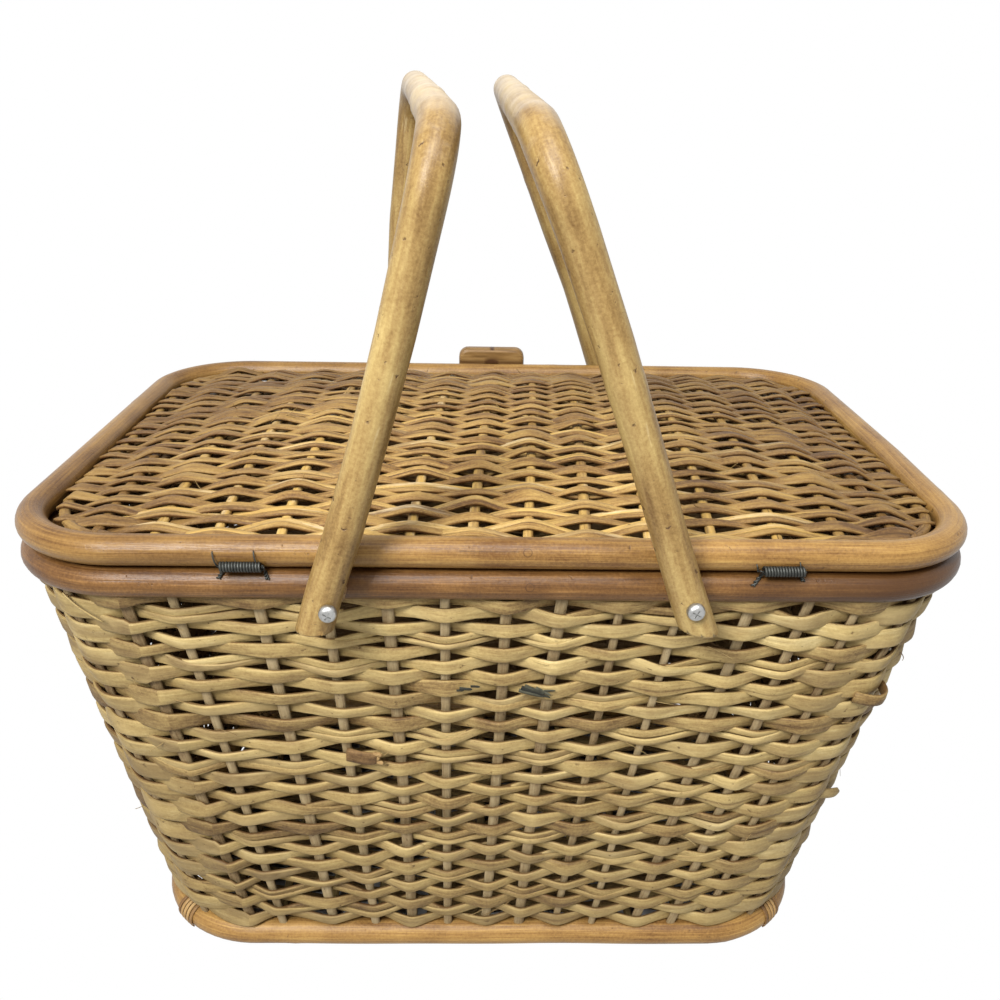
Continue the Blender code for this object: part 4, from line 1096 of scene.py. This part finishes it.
# Painted shade on the lid's weave: darker towards the far side and towards both ends.
golden_painted_shade = painted_shade_by_place((0.55, 0.52, 0.50), ("Y", 0.0, 9.0, 0.8), ("X", 0.05, 9.0, 1.0), ("X", -0.05, -9.0, 0.85))
golden_streaks = (
    (0.75, 0.53, 9.0, 2.2, (0.150, 0.096, 0.062)), (0.7, 0.55, 12.0, 2.0, (0.66, 0.42, 0.11)),
    (0.5, 0.60, 40.0, 3.0, (0.78, 0.64, 0.40)),
)
golden = rattan(
    "golden_lid_weaver_rattan", lid_tones, 14.0, 40.0, 0.55, speck=0.7, joint=golden_painted_shade, seam=0.8,
    streaks=golden_streaks, inner_shade=0.75,
)
lid_upright = swept("lid_stakes", lid_stakes + lid_edges, golden)
lid_weaver = swept("lid_weavers", lid_snake, golden, sides=10, squareness=0.42)
for piece in (lid_upright, lid_weaver):
    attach(piece, "lid")
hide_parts("lid_panel")

# The lift tab is a bow of rattan on the far side of the lid's pole, held by two nails. Its colour carries painted
# shade: a slot in its upper edge painted dark, a dark patch at the middle of its foot where the gap under the bow
# lies, and a darker band where it meets the pole.
tab_low, tab_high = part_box("lid_tab")
tab_middle = (tab_low.x + tab_high.x) / 2
tab_finish = Finish(bpy.data.materials.new("honey_tab_rattan"))
tab_x = tab_finish.axis("X") - tab_middle
tab_z = tab_finish.axis("Z")
tab_grain = tab_finish.stretched_noise((55.0, 700.0, 700.0), 3.0, 0.6)
tab_tones = ((0.25, (0.12, 0.062, 0.018)), (0.5, (0.225, 0.125, 0.040)), (0.75, (0.31, 0.19, 0.070)))
# Painted shade: a dark patch at the bottom middle stands in for the shadowed gap under the bow, a darker band along
# the foot for the shade where the tab meets the pole, and a dark mark at the top middle for the shade in a slot.
gap_shadow = ((1.0 - (tab_x * 190.0) ** 2.0) * (1.0 - ((tab_z - 0.2510) * 420.0).clamped())).clamped()
foot_shade = (1.0 - ((tab_z - 0.2496) * 700.0).clamped()) * 0.6
slot_shade = (1.0 - ((tab_x - 0.0004) * 520.0) ** 2.0).clamped() * ((tab_z - (tab_high.z - 0.0011)) * 3000.0).clamped()
tab_painted_shade = (gap_shadow * 0.75 + foot_shade + slot_shade).clamped()
wear("lid_tab", tab_finish.surface({
    "Base Color": tab_finish.blend(tab_painted_shade, tab_finish.ramp(tab_grain, tab_tones), (0.060, 0.024, 0.007)),
    "Roughness": 0.42, "Normal": tab_finish.bump(tab_grain, 0.3, 0.0004), "Specular IOR Level": 0.3,
}))
wear("tab_nail_left", zinc)
wear("tab_nail_right", zinc)

# Cut ends, splinters and fine fibres stand out of the weave here and there. One weaver ends in a
# curled brown stub, two ends make nubs on the right corner, and one strand is burnt grey.
bark_tones = (
    (0.0, (0.06, 0.028, 0.010)), (0.35, (0.21, 0.120, 0.045)), (0.7, (0.37, 0.235, 0.095)), (1.0, (0.52, 0.37, 0.17)),
)
brown_bark = rattan("brown_bark_ends", bark_tones, 12.0, 90.0, 0.7, speck=1.0, seam=0.4)
grey_tones = ((0.0, (0.007, 0.007, 0.005)), (0.5, (0.026, 0.026, 0.017)), (1.0, (0.12, 0.115, 0.075)))
burnt_grey = rattan("burnt_grey_strand", grey_tones, 12.0, 200.0, 0.7, speck=1.0)


def stub(share, height, run, rise, lift, wide, thick, curl=0.0, taper=0.3):
    """A loose end that starts at a place on the wall and runs along it, rises up it and lifts off it."""
    part = np.linspace(0, 1, 16)
    heights = height + rise * part
    points, out = on_tub(share + run * part / loop, heights)
    points = points + out * (lift[0] + (lift[1] - lift[0]) * part ** 1.6 + curl * np.sin(math.pi * part))[:, None]
    width = wide * (1 - (1 - taper) * np.clip(part * 4 - 3, 0, 1) ** 2)
    return strand(points, out, width, thick * (1 - 0.4 * part))


brown_ends = swept("brown_loose_ends", [stub(*sizes) for sizes in (
    (-0.0565, 0.1362, 0.0150, -0.0008, (0.0036, 0.0058), 0.0074, 0.0028, 0.0010, 0.75),
    (-0.0462, 0.1378, 0.0046, 0.0004, (0.0052, 0.0062), 0.0022, 0.0022, 0.0, 0.3),
    (-0.0462, 0.1358, 0.0034, 0.0000, (0.0054, 0.0060), 0.0024, 0.0022, 0.0, 0.3),
    (-0.0462, 0.1338, 0.0050, -0.0006, (0.0052, 0.0064), 0.0020, 0.0022, 0.0, 0.3),
)], brown_bark, sides=10, squareness=0.6)
grey_bit = swept("burnt_strand_bit", [stub(*sizes) for sizes in (
    (0.0098, 0.1762, 0.0108, -0.0028, (0.0036, 0.0046), 0.0024, 0.0014, 0.0003, 0.7),
    (0.0110, 0.1774, 0.0092, -0.0030, (0.0036, 0.0050), 0.0018, 0.0012, 0.0004, 0.5),
    (0.0090, 0.1749, 0.0122, -0.0026, (0.0036, 0.0045), 0.0018, 0.0012, 0.0005, 0.6),
    (0.0150, 0.1766, 0.0070, -0.0030, (0.0040, 0.0052), 0.0016, 0.0010, 0.0002, 0.3),
    (0.0140, 0.1740, 0.0082, -0.0014, (0.0038, 0.0056), 0.0012, 0.0009, 0.0002, 0.2),
    (0.0180, 0.1755, 0.0052, 0.0006, (0.0046, 0.0052), 0.0009, 0.0008, 0.0, 0.2),
    (-0.0125, 0.1763, 0.0060, -0.0002, (0.0043, 0.0046), 0.0017, 0.0007, 0.0001, 0.3),
    (-0.0085, 0.1775, 0.0044, 0.0002, (0.0043, 0.0048), 0.0014, 0.0006, 0.0, 0.2),
    (-0.0135, 0.1750, 0.0034, 0.0003, (0.0042, 0.0045), 0.0011, 0.0006, 0.0, 0.2),
)], burnt_grey, sides=8)
draw = np.random.default_rng(77)
turned_ends = [
    stub(0.1345, 0.1690, 0.0240, -0.0030, (0.0022, 0.0006), 0.0062, 0.0028, 0.0062, 0.8),
    stub(0.1480, 0.0985, 0.0120, -0.0034, (0.0012, 0.0068), 0.0058, 0.0028, 0.0012, 0.3),
]
loose_strand = [stub(-0.1405, 0.2215, 0.0150, -0.0110, (0.0042, 0.0046), 0.0013, 0.0009, 0.0006, 0.4)]
hairs = turned_ends + loose_strand
for number in range(46):
    spread = draw.uniform(-0.155, 0.155) if number < 34 else draw.uniform(0.16, 0.84)
    reach = draw.uniform(0.004, 0.012) * draw.choice((-1, 1))
    thin = draw.uniform(0.00022, 0.00042)
    hairs.append(stub(
        spread, draw.uniform(0.02, 0.215), reach, draw.uniform(-0.005, 0.004),
        (0.0026, draw.uniform(0.0040, 0.0085)), thin, thin, draw.uniform(0.0, 0.0016),
    ))
hair_piece = swept("wall_splinters", hairs, straw, sides=8, squareness=0.7)
for piece in (brown_ends, grey_bit, hair_piece):
    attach(piece, "basket")

lid_hairs = []
for number in range(30):
    x0, y0 = draw.uniform(-0.17, 0.17), draw.uniform(-0.12, 0.11)
    part = np.linspace(0, 1, 12)
    bearing = draw.uniform(0, 2 * math.pi)
    reach = draw.uniform(0.004, 0.012)
    x = x0 + reach * part * np.cos(bearing)
    y = y0 + reach * part * np.sin(bearing) * 0.4
    lift = 0.0028 + draw.uniform(0.001, 0.005) * part ** 1.5
    thin = draw.uniform(0.00022, 0.00045)
    points = np.stack((x, y, lid_height(x, y) + lift), axis=-1)
    lid_hairs.append(strand(points, np.tile(upright, (len(part), 1)), thin * (1 - 0.6 * part), thin))
lid_splinters = swept("lid_splinters", lid_hairs, golden, sides=6, squareness=1.0)
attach(lid_splinters, "lid")
